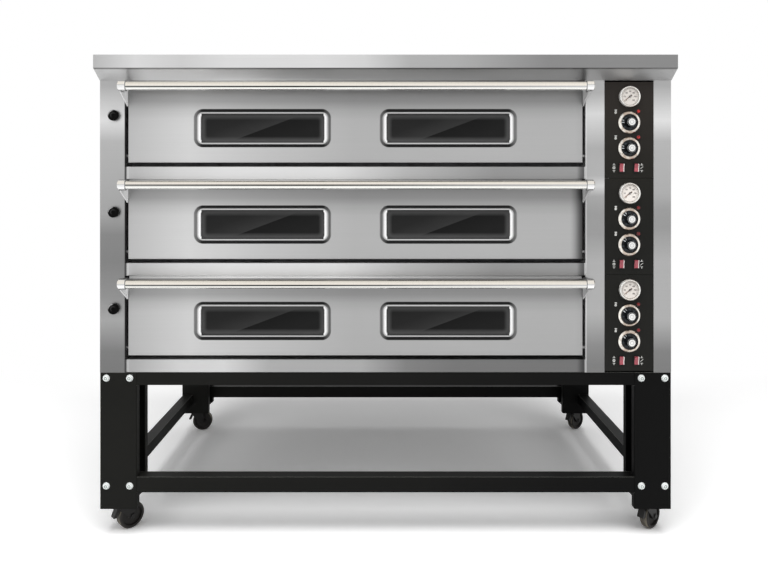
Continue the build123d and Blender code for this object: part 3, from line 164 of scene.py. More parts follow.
class Graph:
    """One material's node tree, laid out in the object's own rest coordinates."""

    def __init__(self, name):
        self.material = bpy.data.materials.new(name)
        self.material.use_nodes = True
        self.tree = self.material.node_tree
        self.tree.nodes.clear()
        self.place = self.node("ShaderNodeTexCoord").outputs["Object"]
        self.x, self.y, self.z = self.parts(self.place)

    def node(self, kind, **settings):
        """New node of a kind, with its own settings."""
        made = self.tree.nodes.new(kind)
        for key, value in settings.items():
            setattr(made, key, value)
        return made

    def plug(self, value, socket):
        """Link another node's output to a socket, or set the socket to a plain value."""
        if isinstance(value, bpy.types.NodeSocket):
            self.tree.links.new(value, socket)
        else:
            socket.default_value = value

    def calc(self, operation, first, second=0.0, third=0.0, clamp=False):
        """Result of one sum on numbers or outputs."""
        made = self.node("ShaderNodeMath", operation=operation, use_clamp=clamp)
        for value, socket in zip((first, second, third), made.inputs):
            self.plug(value, socket)
        return made.outputs[0]

    def times(self, first, second):
        return self.calc("MULTIPLY", first, second)

    def away(self, value, centre):
        """Distance of a value from a centre, never negative."""
        return self.calc("ABSOLUTE", self.calc("SUBTRACT", value, centre))

    def length(self, first, second):
        """Length of a vector with two parts."""
        return self.calc("SQRT", self.calc("ADD", self.times(first, first), self.times(second, second)))

    def outside(self, across, lift, half_width, half_height):
        """How far a point lies outside a rectangle: to the side, upward or downward, and straight."""
        beside = self.calc("SUBTRACT", self.calc("ABSOLUTE", across), half_width)
        above = self.calc("SUBTRACT", self.calc("ABSOLUTE", lift), half_height)
        beside = self.calc("MAXIMUM", beside, 0.0)
        above = self.calc("MAXIMUM", above, 0.0)
        return beside, above, self.length(beside, above)

    def deck_lift(self, height):
        """Height above the nearest deck's copy of what lies at height on the lower deck."""
        lift = self.calc("SUBTRACT", self.z, height - PITCH / 2)
        return self.calc("SUBTRACT", self.calc("MODULO", lift, PITCH), PITCH / 2)

    def distance(self, place):
        """Distance from a fixed place."""
        made = self.node("ShaderNodeVectorMath", operation="DISTANCE")
        self.plug(self.place, made.inputs[0])
        self.plug(place, made.inputs[1])
        return made.outputs["Value"]

    def parts(self, vector):
        """The x, y and z of a vector."""
        split = self.node("ShaderNodeSeparateXYZ")
        self.plug(vector, split.inputs[0])
        return split.outputs

    def span(self, value, low, high, start=0.0, end=1.0):
        """value carried from low..high to start..end, and held there."""
        made = self.node("ShaderNodeMapRange")
        for given, socket in zip((value, low, high, start, end), made.inputs):
            self.plug(given, socket)
        return made.outputs[0]

    def ramp(self, value, stops):
        """Colour along value, from stops given as (value, colour)."""
        low, high = stops[0][0], stops[-1][0]
        made = self.node("ShaderNodeValToRGB")
        self.plug(self.span(value, low, high), made.inputs[0])
        points = made.color_ramp.elements
        while len(points) < len(stops):
            points.new(0.5)
        for point, (at, colour) in zip(points, stops):
            point.position = (at - low) / (high - low)
            point.color = colour
        return made.outputs[0]

    def blend(self, amount, first, second, kind="MIX"):
        """Mix of two colours: the first at 0 and the second at 1."""
        made = self.node("ShaderNodeMix", data_type="RGBA", blend_type=kind)
        self.plug(amount, made.inputs[0])
        self.plug(first, made.inputs[6])
        self.plug(second, made.inputs[7])
        return made.outputs[2]

    def shaded(self, tone, shade):
        """A tone multiplied by a shade."""
        return self.blend(1.0, tone, shade, "MULTIPLY")

    def noise(self, scale, stretch=(1.0, 1.0, 1.0), detail=3.0, rough=0.5):
        """Noise from 0 to 1 over the object's coordinates, stretched on each axis."""
        mapping = self.node("ShaderNodeMapping")
        mapping.inputs["Scale"].default_value = stretch
        self.plug(self.place, mapping.inputs[0])
        made = self.node("ShaderNodeTexNoise")
        self.plug(mapping.outputs[0], made.inputs["Vector"])
        made.inputs["Scale"].default_value = scale
        made.inputs["Detail"].default_value = detail
        made.inputs["Roughness"].default_value = rough
        return made.outputs[0]

    def bump(self, height, strength, distance):
        made = self.node("ShaderNodeBump")
        made.inputs["Strength"].default_value = strength
        made.inputs["Distance"].default_value = distance
        self.plug(height, made.inputs["Height"])
        return made.outputs[0]

    def finish(self, **inputs):
        """Principled surface with the given inputs, whose names are written with underscores."""
        made = self.node("ShaderNodeBsdfPrincipled")
        for key, value in inputs.items():
            self.plug(value, made.inputs[key.replace("_", " ")])
        out = self.node("ShaderNodeOutputMaterial")
        self.plug(made.outputs[0], out.inputs[0])
        return self.material


def steps(pairs):
    """Stops of a grey ramp, from pairs of a place and an 8-bit value."""
    return [(at, grey(value)) for at, value in pairs]


def steel(graph, tone, rough=0.3, metal=0.9, grain=(3.0, 3.0, 900.0), gain=1.0, relief=0.12):
    """Sheet steel: the tone, fine brushing along one axis, and cloudy wiping marks."""
    brushing = graph.noise(1.0, grain, 2.0)
    clouds = graph.noise(3.0, (1.0, 1.0, 1.6), 4.0)
    shade = graph.calc("MULTIPLY_ADD", brushing, 0.10 * gain, 0.95 * gain)
    shade = graph.times(shade, graph.span(clouds, 0.3, 0.7, 0.985, 1.015))
    colour = graph.shaded(tone, shade)
    roughness = graph.calc("MULTIPLY_ADD", brushing, 0.12, rough)
    roughness = graph.calc("MULTIPLY_ADD", clouds, 0.06, roughness)
    return graph.finish(
        Base_Color=colour,
        Metallic=metal,
        Roughness=roughness,
        Normal=graph.bump(brushing, relief, 0.0004),
    )


def window_place(graph):
    """Distances from the middle of the nearest window, across and up."""
    from_middle = graph.calc("SUBTRACT", graph.x, WINDOW_X)
    across = graph.calc("SUBTRACT", graph.calc("ABSOLUTE", from_middle), WINDOW_HALF_PITCH)
    across = graph.times(across, graph.calc("SIGN", from_middle))
    return across, graph.deck_lift(WINDOW_Z)


# ---- Stainless sheets ------------------------------------------------------------------------
def body_steel():
    """Outer panels: painted reflection bands up the two front strips and on the sides, and painted shade
    on the turned-in edge.
    """
    graph = Graph("stainless_body")
    # Painted reflection bands up the left and right front strips.
    left = steps(
        [(0.48, 116), (0.54, 121), (0.63, 161), (0.70, 141), (0.80, 127), (0.88, 132),
         (0.94, 160), (1.15, 176), (1.21, 214), (1.31, 171)]
    )
    right = steps(
        [(0.48, 121), (0.54, 126), (0.63, 169), (0.80, 171), (0.90, 149), (0.95, 152),
         (1.0, 169), (1.15, 177), (1.21, 218), (1.31, 170)]
    )
    # Painted reflection bands along the sides.
    side = steps([(-0.44, 150), (-0.2, 186), (0.05, 170), (0.25, 190), (0.46, 160)])
    rightward = graph.span(graph.x, -0.1, 0.1)
    front = graph.blend(rightward, graph.ramp(graph.z, left), graph.ramp(graph.z, right))
    # Painted shade on the edge that turns in beside the doors.
    beside = graph.calc("SUBTRACT", graph.x, OPENING_LEFT)
    turned_in_shade = graph.times(graph.span(beside, -0.003, -0.0012), graph.calc("LESS_THAN", beside, 0.01))
    front = graph.blend(turned_in_shade, front, grey(50))
    past_fold = graph.span(graph.y, DOOR_FRONT + FRONT_FOLD / 3, DOOR_FRONT + FRONT_FOLD)
    tone = graph.blend(past_fold, front, graph.ramp(graph.y, side))
    return steel(graph, tone, gain=1.09)


def frame_steel():
    """Upright and sills with painted reflection bands and painted shade at the sills' right ends, a
    painted highlight line beside the doors' gap, and painted shade along the gap on the left.
    """
    graph = Graph("stainless_frame")
    # Painted reflection bands up the upright and along the sills, with painted shade at the sills' right
    # ends.
    upright = steps(
        [(0.50, 125), (0.56, 139), (0.65, 176), (0.80, 177), (0.88, 156), (0.94, 156), (0.99, 168),
         (1.02, 210), (1.05, 180), (1.13, 174), (1.23, 216), (1.29, 178)]
    )
    sill = steps(
        [(-0.73, 188), (-0.60, 216), (-0.46, 227), (-0.15, 224), (0.06, 185), (0.32, 153), (0.555, 157),
         (0.565, 118), (0.576, 84)]
    )
    lowest = steps(
        [(-0.73, 170), (-0.60, 202), (-0.47, 206), (-0.34, 168), (-0.07, 164), (0.06, 125), (0.2, 115),
         (0.555, 114), (0.565, 90), (0.576, 62)]
    )
    low_band = graph.calc("LESS_THAN", graph.z, DOOR_BOTTOM)
    sills = graph.blend(low_band, graph.ramp(graph.x, sill), graph.ramp(graph.x, lowest))
    on_upright = graph.calc("GREATER_THAN", graph.x, DOOR_RIGHT + 0.003)
    tone = graph.blend(on_upright, sills, graph.ramp(graph.z, upright))
    # Painted highlight line beside the doors' gap.
    off_highlight_line = graph.away(graph.x, UPRIGHT_LEFT + 0.0024)
    tone = graph.blend(graph.span(off_highlight_line, 0.0024, 0.0008, 0.0, 0.6), tone, grey(250))
    # Painted shade along the gap on the left.
    gap_shade = graph.ramp(
        graph.calc("SUBTRACT", graph.x, OPENING_LEFT),
        steps([(0.0, 120), (0.0032, 120), (0.0042, 236), (0.0068, 255), (0.0095, 255), (0.011, 240)]),
    )
    return steel(graph, graph.shaded(tone, gap_shade), gain=1.17)


def canopy_steel():
    """Canopy: painted reflection bands on the upright fascia and the slope under it, and painted shade in
    the crease where they meet.
    """
    graph = Graph("stainless_canopy")
    # Painted reflection bands along the fascia and the slope.
    fascia = steps(
        [(-0.84, 180), (-0.71, 215), (-0.58, 203), (-0.45, 216), (-0.19, 216), (-0.06, 208), (0.07, 176),
         (0.20, 172), (0.46, 138), (0.72, 138)]
    )
    slope = steps(
        [(-0.81, 198), (-0.68, 254), (-0.42, 247), (-0.29, 213), (-0.16, 192), (0.1, 201), (0.5, 189),
         (0.75, 175)]
    )
    edge = (BODY_TOP + canopy_high.z) / 2 - 0.0045
    above = graph.calc("GREATER_THAN", graph.z, edge)
    tone = graph.blend(above, graph.ramp(graph.x, slope), graph.ramp(graph.x, fascia))
    # Painted shade in the crease between the fascia and the slope.
    to_edge = graph.away(graph.z, edge - 0.001)
    tone = graph.blend(graph.span(to_edge, 0.0026, 0.001, 0.0, 0.62), tone, grey(40))
    behind = graph.span(graph.y, canopy_low.y + 0.05, canopy_low.y + 0.12)
    tone = graph.blend(behind, tone, grey(178))
    return steel(graph, tone, gain=1.03)


def window_surround(graph, tone):
    """The tone with painted shade in the pressed groove round every window, darkest at its top and bottom,
    a painted highlight on the lip, and painted shade inside the opening.
    """
    aside, lift = window_place(graph)
    half_width = WINDOW_HALF_WIDTH + LIP_SIDE - LIP_CORNER
    half_height = WINDOW_HALF_HEIGHT + LIP_TOP - LIP_CORNER
    beside, above, reach = graph.outside(aside, lift, half_width, half_height)
    reach = graph.calc("SUBTRACT", reach, LIP_CORNER)
    upright_part = graph.calc("DIVIDE", above, graph.calc("ADD", graph.calc("ADD", above, beside), 0.0001))
    # Painted shade in the groove, darkest along its top and bottom.
    groove = graph.ramp(upright_part, steps([(0.0, 132), (0.45, 112), (0.8, 48), (1.0, 42)]))
    groove_end = graph.span(reach, GROOVE_WIDTH, GROOVE_WIDTH - 0.0016)
    in_groove = graph.times(graph.span(reach, -0.0004, 0.0006), groove_end)
    # Painted highlight on the lip.
    lip_stops = [(-0.011, 250), (-0.0055, 246), (-0.0042, 214), (-0.003, 196), (-0.0005, 192)]
    lip = graph.ramp(reach, steps(lip_stops))
    to_rim = (WINDOW_HALF_HEIGHT + 0.0012, WINDOW_HALF_HEIGHT + 0.0024)
    rim = graph.span(graph.calc("ABSOLUTE", lift), *to_rim)
    beyond = graph.calc("GREATER_THAN", graph.calc("ABSOLUTE", aside), WINDOW_HALF_WIDTH - 0.002)
    # Painted shade inside the window opening.
    lip = graph.blend(graph.calc("MAXIMUM", rim, beyond), grey(74), lip)
    tone = graph.blend(in_groove, tone, groove)
    return graph.blend(graph.span(reach, 0.0004, -0.0006), tone, lip)


def door_steel():
    """Door trays: painted shade under each handle, painted reflection bands up and across, window
    surrounds, a painted dark reflection on the middle door's right end, and painted shade toward the lower
    door's bottom.
    """
    graph = Graph("stainless_door")
    rise = graph.calc("SUBTRACT", graph.z, DOOR_BOTTOM)
    rise = graph.calc("MODULO", rise, PITCH)
    rise = graph.calc("DIVIDE", rise, DOOR_HEIGHT)
    # Painted shade toward each door's top, under its handle.
    upward = steps(
        [(0.0, 172), (0.06, 175), (0.446, 175), (0.56, 174), (0.68, 163), (0.79, 139), (0.87, 136),
         (0.94, 133), (1.0, 124)]
    )
    # Painted reflection bands across the doors, lighter to the left.
    across = steps(
        [(-0.75, 192), (-0.64, 209), (-0.57, 218), (-0.35, 200), (-0.09, 184), (0.55, 184), (0.57, 178)]
    )
    tone = graph.shaded(graph.ramp(rise, upward), graph.ramp(graph.x, across))
    tone = graph.shaded(tone, (2.05, 2.05, 2.05, 1.0))
    # Painted dark reflection on the middle door's right end.
    end_stops = [(0.0, 84), (0.006, 116), (0.014, 164), (0.023, 214), (0.032, 244), (0.038, 255)]
    reflection_dark_end = graph.ramp(graph.calc("SUBTRACT", DOOR_RIGHT, graph.x), steps(end_stops))
    off_middle = graph.away(graph.z, DOOR_BOTTOM + PITCH + DOOR_HEIGHT / 2)
    on_middle = graph.calc("LESS_THAN", off_middle, DOOR_HEIGHT / 2 + 0.002)
    tone = graph.blend(on_middle, tone, graph.shaded(tone, reflection_dark_end))
    tone = window_surround(graph, tone)
    # Painted shade toward the bottom of the lower door.
    low_shade = graph.span(graph.z, DOOR_BOTTOM, DOOR_BOTTOM + DOOR_HEIGHT, 0.88, 1.0)
    tone = graph.shaded(tone, low_shade)
    inside = graph.calc("GREATER_THAN", graph.calc("SUBTRACT", graph.y, DOOR_FRONT), 0.0062)
    return steel(graph, graph.blend(inside, tone, grey(178)), gain=1.09)


def handle_tube(graph, axis_z, lift):
    """Polished tube whose reflection is painted into the colour, with a dark painted reflected line along
    it, which lies highest on the middle deck.
    """
    # Painted reflection: the dark reflected line along the tube.
    line_stops = [(-0.75, 110), (-0.45, 78), (-0.25, 52), (0.0, 96), (0.19, 150), (0.56, 200)]
    line = graph.ramp(graph.x, steps(line_stops))
    # Painted reflection bands round the tube.
    tube = graph.ramp(
        lift,
        [(-0.0128, grey(190)), (-0.0112, rgb(240, 240, 238)), (-0.0094, rgb(250, 250, 246)),
         (-0.0062, rgb(236, 236, 232)), (-0.0046, rgb(222, 221, 216)), (-0.0012, rgb(228, 224, 216)),
         (0.001, rgb(238, 232, 222)), (0.0072, rgb(228, 222, 211)), (0.0104, rgb(212, 207, 197)),
         (0.0128, rgb(140, 138, 134))],
    )
    below_top = graph.calc("SUBTRACT", axis_z + 2 * PITCH, graph.z)
    line_lift = graph.calc(
        "MINIMUM",
        graph.calc("MULTIPLY_ADD", below_top, 0.0033 / PITCH, -0.0036),
        graph.calc("MULTIPLY_ADD", below_top, -0.0017 / PITCH, 0.0014),
    )
    return graph.blend(graph.span(graph.away(lift, line_lift), 0.0028, 0.0014), tube, line)


def handle_cap(graph, lift, from_cap):
    """End cap with painted reflection bands, and a joint line where it meets the tube."""
    # Painted reflection bands round the cap.
    cap = graph.ramp(
        lift,
        [(-CAP_RADIUS, grey(120)), (-0.0138, grey(214)), (-0.008, grey(250)), (-0.001, grey(236)),
         (0.0012, grey(206)), (0.004, rgb(236, 231, 222)), (0.011, rgb(232, 227, 218)),
         (0.0138, grey(222)), (CAP_RADIUS, grey(120))],
    )
    joint = graph.times(graph.span(from_cap, -0.0006, 0.0002), graph.span(from_cap, 0.0024, 0.0012))
    return graph.blend(joint, cap, grey(150))


def handle_chrome():
    """Handles: polished tubes and end caps, with duller brackets behind and below them, painted lighter to
    the left and with painted shade above the tube's axis.
    """
    graph = Graph("handle_chrome")
    axis_z = handle_high.z - CAP_RADIUS
    lift = graph.deck_lift(axis_z)
    middle = (handle_low.x + handle_high.x) / 2
    cap_start = handle_high.x - middle - CAP_LENGTH
    from_cap = graph.calc("SUBTRACT", graph.away(graph.x, middle), cap_start)
    on_cap = graph.calc("GREATER_THAN", from_cap, -0.0001)
    bar = graph.blend(on_cap, handle_tube(graph, axis_z, lift), handle_cap(graph, lift, from_cap))
    behind = graph.calc("GREATER_THAN", graph.y, handle_low.y + 2 * CAP_RADIUS)
    below = graph.calc("LESS_THAN", lift, -CAP_RADIUS)
    bracket = graph.calc("MAXIMUM", behind, below)
    # Brackets painted lighter to the left, with painted shade above the tube's axis.
    plate = graph.ramp(graph.x, steps([(-0.7, 254), (0.4, 196)]))
    plate = graph.blend(graph.calc("GREATER_THAN", lift, 0.002), plate, grey(70))
    metal = graph.calc("MULTIPLY_ADD", bracket, -0.95, 1.0)
    rough = graph.calc("MULTIPLY_ADD", bracket, 0.25, 0.1)
    return steel(graph, graph.blend(bracket, bar, plate), rough, metal, (900.0, 3.0, 3.0), relief=0.02)


# ---- Other finishes --------------------------------------------------------------------------
def painted(name, colour, rough, specular=0.5, grain=900.0, depth=0.15, fade=None, metal=0.0, coat=0.0):
    """Paint or moulded plastic with a fine orange-peel skin and slight tone variation."""
    graph = Graph(name)
    peel = graph.noise(grain, (1, 1, 1), 2.0)
    clouds = graph.noise(6.0, (1, 1, 1), 4.0)
    shade = graph.span(clouds, 0.3, 0.7, 0.9, 1.1)
    shade = graph.times(shade, graph.span(peel, 0.2, 0.8, 0.94, 1.06))
    base = fade(graph) if fade else colour
    tone = graph.shaded(base, shade)
    roughness = graph.calc("MULTIPLY_ADD", clouds, 0.12, rough - 0.06)
    return graph.finish(
        Base_Color=tone,
        Metallic=metal,
        Roughness=roughness,
        Specular_IOR_Level=specular,
        Coat_Weight=coat,
        Normal=graph.bump(peel, depth, 0.0004),
    )


def window_glass():
    """Dark panes with a painted slanting reflection, a painted lighter border, and corners painted light
    like the lip so that they look rounded.
    """
    graph = Graph("dark_glass")
    across, lift = window_place(graph)
    # Painted slanting reflection across each pane.
    slant = graph.calc("MULTIPLY_ADD", lift, -2.67, graph.calc("SUBTRACT", across, 0.008))
    pane_painted_light = graph.ramp(
        slant,
        steps([(-0.30, 26), (-0.12, 32), (-0.012, 47), (-0.002, 49), (0.002, 14), (0.15, 24)]),
    )
    half_width = WINDOW_HALF_WIDTH - GLASS_CORNER
    half_height = WINDOW_HALF_HEIGHT - GLASS_CORNER
    # Painted lighter border round each pane.
    inner = graph.outside(across, lift, half_width - WINDOW_BORDER, half_height - WINDOW_BORDER)[2]
    border = graph.span(inner, GLASS_CORNER - 0.008, GLASS_CORNER + 0.003)
    pane_painted_light = graph.blend(border, pane_painted_light, grey(72))
    # Corners painted light like the lip behind them.
    outer = graph.outside(across, lift, half_width, half_height)[2]
    corner = graph.span(outer, GLASS_CORNER + 0.0002, GLASS_CORNER + 0.0016)
    pane_painted_light = graph.blend(corner, pane_painted_light, grey(214))
    smears = graph.noise(14.0, (1.0, 1.0, 2.5), 4.0)
    return graph.finish(
        Base_Color=graph.shaded(pane_painted_light, graph.span(smears, 0.3, 0.7, 0.94, 1.06)),
        Roughness=graph.span(smears, 0.3, 0.7, 0.03, 0.09),
        Specular_IOR_Level=0.12,
        Normal=graph.bump(smears, 0.02, 0.0005),
    )


def panel_fade(graph):
    """Black panel, painted a little lighter and warmer toward the top, where more light falls."""
    return graph.ramp(
        graph.z,
        [(0.48, rgb(31, 31, 29)), (0.9, rgb(28, 28, 26)), (1.05, rgb(32, 31, 28)),
         (1.32, rgb(48, 44, 41))],
    )


def stand_fade(graph):
    """Black paint, with painted shade deepening to the right and a painted highlight along the upper
    edges.
    """
    # Painted shade, deeper to the right.
    depth = graph.ramp(graph.x, [(-0.83, rgb(27, 27, 25)), (0.0, rgb(21, 21, 20)), (0.72, rgb(9, 9, 9))])
    # Painted highlight along the edges that face upward.
    bevel = graph.node("ShaderNodeBevel", samples=4)
    bevel.inputs["Radius"].default_value = 0.002
    flat = graph.node("ShaderNodeNewGeometry").outputs["True Normal"]
    turn = graph.node("ShaderNodeVectorMath", operation="DOT_PRODUCT")
    graph.plug(bevel.outputs[0], turn.inputs[0])
    graph.plug(flat, turn.inputs[1])
    upward = graph.span(graph.parts(bevel.outputs[0])[2], 0.15, 0.5)
    edge = graph.times(graph.span(turn.outputs["Value"], 0.995, 0.93), upward)
    return graph.blend(edge, depth, rgb(104, 104, 100))


def bezel_steel(name, shade, shine, metal):
    """Spun ring with painted highlights at its sides, and painted shade in a groove in the ring of the
    lower deck's upper knob.
    """
    graph = Graph(name)
    streaks = graph.noise(120.0, (1.0, 0.2, 1.0), 3.0)
    # Painted highlights toward the ring's left and right sides.
    turned = graph.span(graph.away(graph.x, PANEL_X), 0.012, 0.024)
    amount = graph.calc("ADD", turned, graph.span(streaks, 0.36, 0.64, -0.5, 0.5), clamp=True)
    tone = graph.blend(amount, shade, shine)
    x, z = middle_of(*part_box("lower_top_heat_knob"))
    # Painted shade in a groove of one knob's ring.
    apart = graph.distance((x, RING_FACE, z))
    groove = graph.span(graph.away(apart, RING_GROOVE_RADIUS), 0.0014, 0.0004)
    groove = graph.times(groove, graph.calc("LESS_THAN", apart, 0.03))
    tone = graph.blend(groove, tone, rgb(70, 68, 66))
    return steel(graph, tone, 0.16, metal, (300.0, 300.0, 300.0))


def rocker_pink(graph):
    """Pinkish red rocker with a painted highlight along its right edge and painted shade on its left side.
    """
    tone = graph.blend(graph.noise(260.0, (1.0, 1.0, 0.6), 3.0), rgb(196, 92, 104), rgb(122, 52, 60))
    # Painted highlight along each rocker's right edge.
    for place in ("power", "light"):
        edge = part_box(f"lower_{place}_switch")[1].x
        within = graph.calc("LESS_THAN", graph.x, edge + 0.001)
        right = graph.times(graph.span(graph.x, edge - 0.0052, edge - 0.0036), within)
        tone = graph.blend(right, tone, rgb(222, 212, 210))
    # Painted shade on the faces that look left.
    facing = graph.parts(graph.node("ShaderNodeNewGeometry").outputs["True Normal"])[0]
    return graph.blend(graph.calc("LESS_THAN", facing, -0.7), tone, rgb(34, 16, 17))


def needle_fade(graph):
    """Dark hub, warmer and lighter toward the tip."""
    reach = graph.away(graph.x, PANEL_X)
    return graph.blend(graph.span(reach, 0.002, 0.011), rgb(44, 40, 38), rgb(150, 116, 96))


def damper_fade(graph):
    """Moulded black knob with a painted glint at its edge and a painted highlight on a ring of its face,
    both toward the upper left.
    """
    x, z = middle_of(*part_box("lower_damper_pull"))
    aside = graph.calc("SUBTRACT", graph.x, x)
    lift = graph.deck_lift(z)
    far = graph.length(aside, lift)
    upward = graph.calc("DIVIDE", graph.calc("SUBTRACT", lift, aside), graph.calc("ADD", far, 0.0001))
    width = DAMPER_KNOB_RADIUS * 0.14
    # Painted highlight on a ring of the face, toward the upper left.
    on_ring = graph.span(graph.away(far, DAMPER_KNOB_RADIUS * 0.45), width, 0.0)
    tone = graph.blend(graph.times(on_ring, graph.span(upward, -0.6, 1.3)), rgb(6, 6, 6), grey(62))
    # Painted glint at the edge, toward the upper left.
    on_edge = graph.span(graph.away(far, DAMPER_KNOB_RADIUS * 0.86), width, 0.0)
    return graph.blend(graph.times(on_edge, graph.span(upward, 0.9, 1.35)), tone, grey(190))


def tread_fade(graph):
    """Dark wheel with a patchy painted highlight on its tread."""
    nearest = 1.0
    for name in ("front_left", "front_right", "rear_left", "rear_right"):
        low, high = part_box(f"{name}_caster_wheel")
        nearest = graph.calc("MINIMUM", nearest, graph.distance((low + high) / 2))
    radius = (high.z - low.z) / 2
    on_tread = graph.span(nearest, radius * 0.985, radius * 1.01)
    # Painted highlight in patches on the tread.
    tread_highlight = graph.times(on_tread, graph.span(graph.noise(60.0), 0.3, 0.55))
    return graph.blend(tread_highlight, rgb(38, 36, 34), rgb(112, 106, 94))


def lip_steel():
    """Door lips, toned like the sills above them with painted reflection bands."""
    graph = Graph("lip_steel")
    stops = [(-0.73, 205), (-0.46, 248), (-0.15, 244), (0.06, 205), (0.32, 172), (0.57, 172)]
    return steel(graph, graph.ramp(graph.x, steps(stops)), 0.35, 0.8)


def lamp_red():
    """Red pilot lamps in dark collars, brightest on the upper deck."""
    graph = Graph("lamp_red")
    dome = graph.calc("LESS_THAN", graph.y, lamp_low.y + 0.0036)
    facets = graph.noise(320.0, (1, 1, 1), 2.0)
    top_lamp = graph.calc("GREATER_THAN", graph.z, lamp_high.z - 0.1)
    bright = graph.blend(top_lamp, rgb(126, 14, 20), rgb(190, 26, 20))
    tone = graph.blend(graph.span(facets, 0.38, 0.62), rgb(70, 6, 8), bright)
    tone = graph.blend(dome, rgb(44, 9, 9), tone)
    glow = graph.calc("MULTIPLY_ADD", graph.times(dome, top_lamp), 0.08, 0.02)
    return graph.finish(
        Base_Color=tone,
        Roughness=0.18,
        Coat_Weight=0.4,
        Emission_Color=(1.0, 0.03, 0.02, 1.0),
        Emission_Strength=glow,
        Normal=graph.bump(facets, 0.2, 0.0003),
    )


def rock_wool():
    """Matted yellowish fibre."""
    graph = Graph("rock_wool")
    fibre = graph.noise(220.0, (1.0, 1.0, 5.0), 6.0, 0.7)
    tufts = graph.noise(30.0, (1, 1, 2), 5.0)
    tone = graph.blend(fibre, rgb(120, 104, 62), rgb(196, 178, 120))
    return graph.finish(Base_Color=tone, Roughness=0.95, Normal=graph.bump(tufts, 0.9, 0.004))


def enamel(name, colour, stain):
    """Oven enamel or oiled plate with baked-on stains."""
    graph = Graph(name)
    spots = graph.noise(38.0, (1, 1, 1), 6.0, 0.6)
    wide = graph.noise(5.0, (1, 1, 1), 4.0)
    amount = graph.times(graph.span(spots, 0.5, 0.72), graph.span(wide, 0.35, 0.7))
    tone = graph.blend(amount, colour, stain)
    return graph.finish(
        Base_Color=tone,
        Metallic=0.3,
        Roughness=graph.span(spots, 0.3, 0.7, 0.38, 0.6),
        Normal=graph.bump(spots, 0.15, 0.0006),
    )


materials = {
    "stainless_body": body_steel(),
    "stainless_frame": frame_steel(),
    "stainless_canopy": canopy_steel(),
    "stainless_door": door_steel(),
    "handle_chrome": handle_chrome(),
    "dark_glass": window_glass(),
    "galvanised_back": steel(Graph("galvanised_back"), grey(168), 0.42, 0.85, (60.0, 60.0, 60.0)),
    "hearth_steel": enamel("hearth_steel", rgb(92, 88, 84), rgb(44, 36, 30)),
    "chamber_enamel": enamel("chamber_enamel", rgb(70, 70, 72), rgb(36, 30, 26)),
    "element_steel": enamel("element_steel", rgb(104, 94, 88), rgb(60, 44, 38)),
    "rock_wool": rock_wool(),
    "black_panel": painted("black_panel", None, 0.5, 0.1, 1100.0, 0.1, panel_fade),
    # Gauge and knob rings: the first colour is the ring's tone, the second its painted highlight at the
    # sides.
    "gauge_chrome": bezel_steel("gauge_chrome", rgb(226, 220, 213), rgb(255, 254, 250), 0.45),
    "ring_chrome": bezel_steel("ring_chrome", rgb(196, 180, 166), rgb(252, 248, 240), 1.0),
    "bolt_zinc": steel(Graph("bolt_zinc"), rgb(240, 244, 243), 0.4, 0.45, (400.0, 400.0, 400.0), 1.1),
    "flue_steel": steel(Graph("flue_steel"), grey(170), 0.35, 0.95, (3.0, 600.0, 3.0)),
    "lamp_red": lamp_red(),
    "switch_black": painted("switch_black", rgb(24, 24, 23), 0.45, 0.15),
    "rocker_red": painted("rocker_red", None, 0.3, 0.4, 700.0, 0.1, rocker_pink, 0.0, 0.3),
    "knob_black": painted("knob_black", rgb(20, 22, 24), 0.22, 0.25, 1200.0, 0.05),
    "needle_black": painted("needle_black", None, 0.4, 0.3, 1500.0, 0.05, needle_fade),
    "damper_black": painted("damper_black", None, 0.2, 0.05, 900.0, 0.05, damper_fade),
    "gland_black": painted("gland_black", rgb(26, 26, 26), 0.5, 0.3),
    "stand_black": painted("stand_black", None, 0.5, 0.08, 650.0, 0.25, stand_fade),
    "caster_steel": painted("caster_steel", rgb(30, 29, 28), 0.4, 0.25, 500.0, 0.2),
    "wheel_rubber": painted("wheel_rubber", None, 0.55, 0.3, 400.0, 0.3, tread_fade),
}
# Every solid takes the material of its slot.
for subpart in frame["record"]["subparts"]:
    mesh = frame["nodes"][subpart["node"]].data
    for index in range(len(mesh.materials)):
        mesh.materials[index] = materials[subpart["material_slot"]]


# ---- Mesh helpers ----------------------------------------------------------------------------
FORWARD = -1
BACKWARD = 1
WELD = 1e-7


def around(at, radius, angle):
    """Place at a radius and an angle from a middle, as (x, z)."""
    return (at[0] + radius * math.cos(angle), at[1] + radius * math.sin(angle))


def stood(outline, face, outward):
    """Outline of (radius, height) corners stood on a face, as the (radius, y) corners of a lathe."""
    return [(radius, face + outward * height) for radius, height in outline]


def piece(name, shape, body, material, smooth=True):
    """Turn a bmesh into an object that rides on a body."""
    mesh = bpy.data.meshes.new(name)
    bmesh.ops.recalc_face_normals(shape, faces=shape.faces)
    shape.to_mesh(mesh)
    shape.free()
    for polygon in mesh.polygons:
        polygon.use_smooth = smooth
    mesh.materials.append(material)
    made = bpy.data.objects.new(name, mesh)
    bpy.context.scene.collection.objects.link(made)
    if smooth:
        mesh.set_sharp_from_angle(angle=math.radians(35))
    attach(made, body)
    return made


def lathe(shape, at, outline, segments=64):
    """Closed solid of revolution about a front-to-back line, from (radius, y) corners."""
    circles = []
    for radius, y in outline:
        circle = []
        for index in range(segments if radius > 0 else 1):
            x, z = around(at, radius, 2 * math.pi * index / segments)
            circle.append(shape.verts.new((x, y, z)))
        circles.append(circle)
    for first, second in zip(circles, circles[1:]):
        for index in range(segments):
            turns = ((first, index), (first, index + 1), (second, index + 1), (second, index))
            corners = [circle[turn % len(circle)] for circle, turn in turns]
            unique = list(dict.fromkeys(corners))
            if len(unique) > 2:
                shape.faces.new(unique)


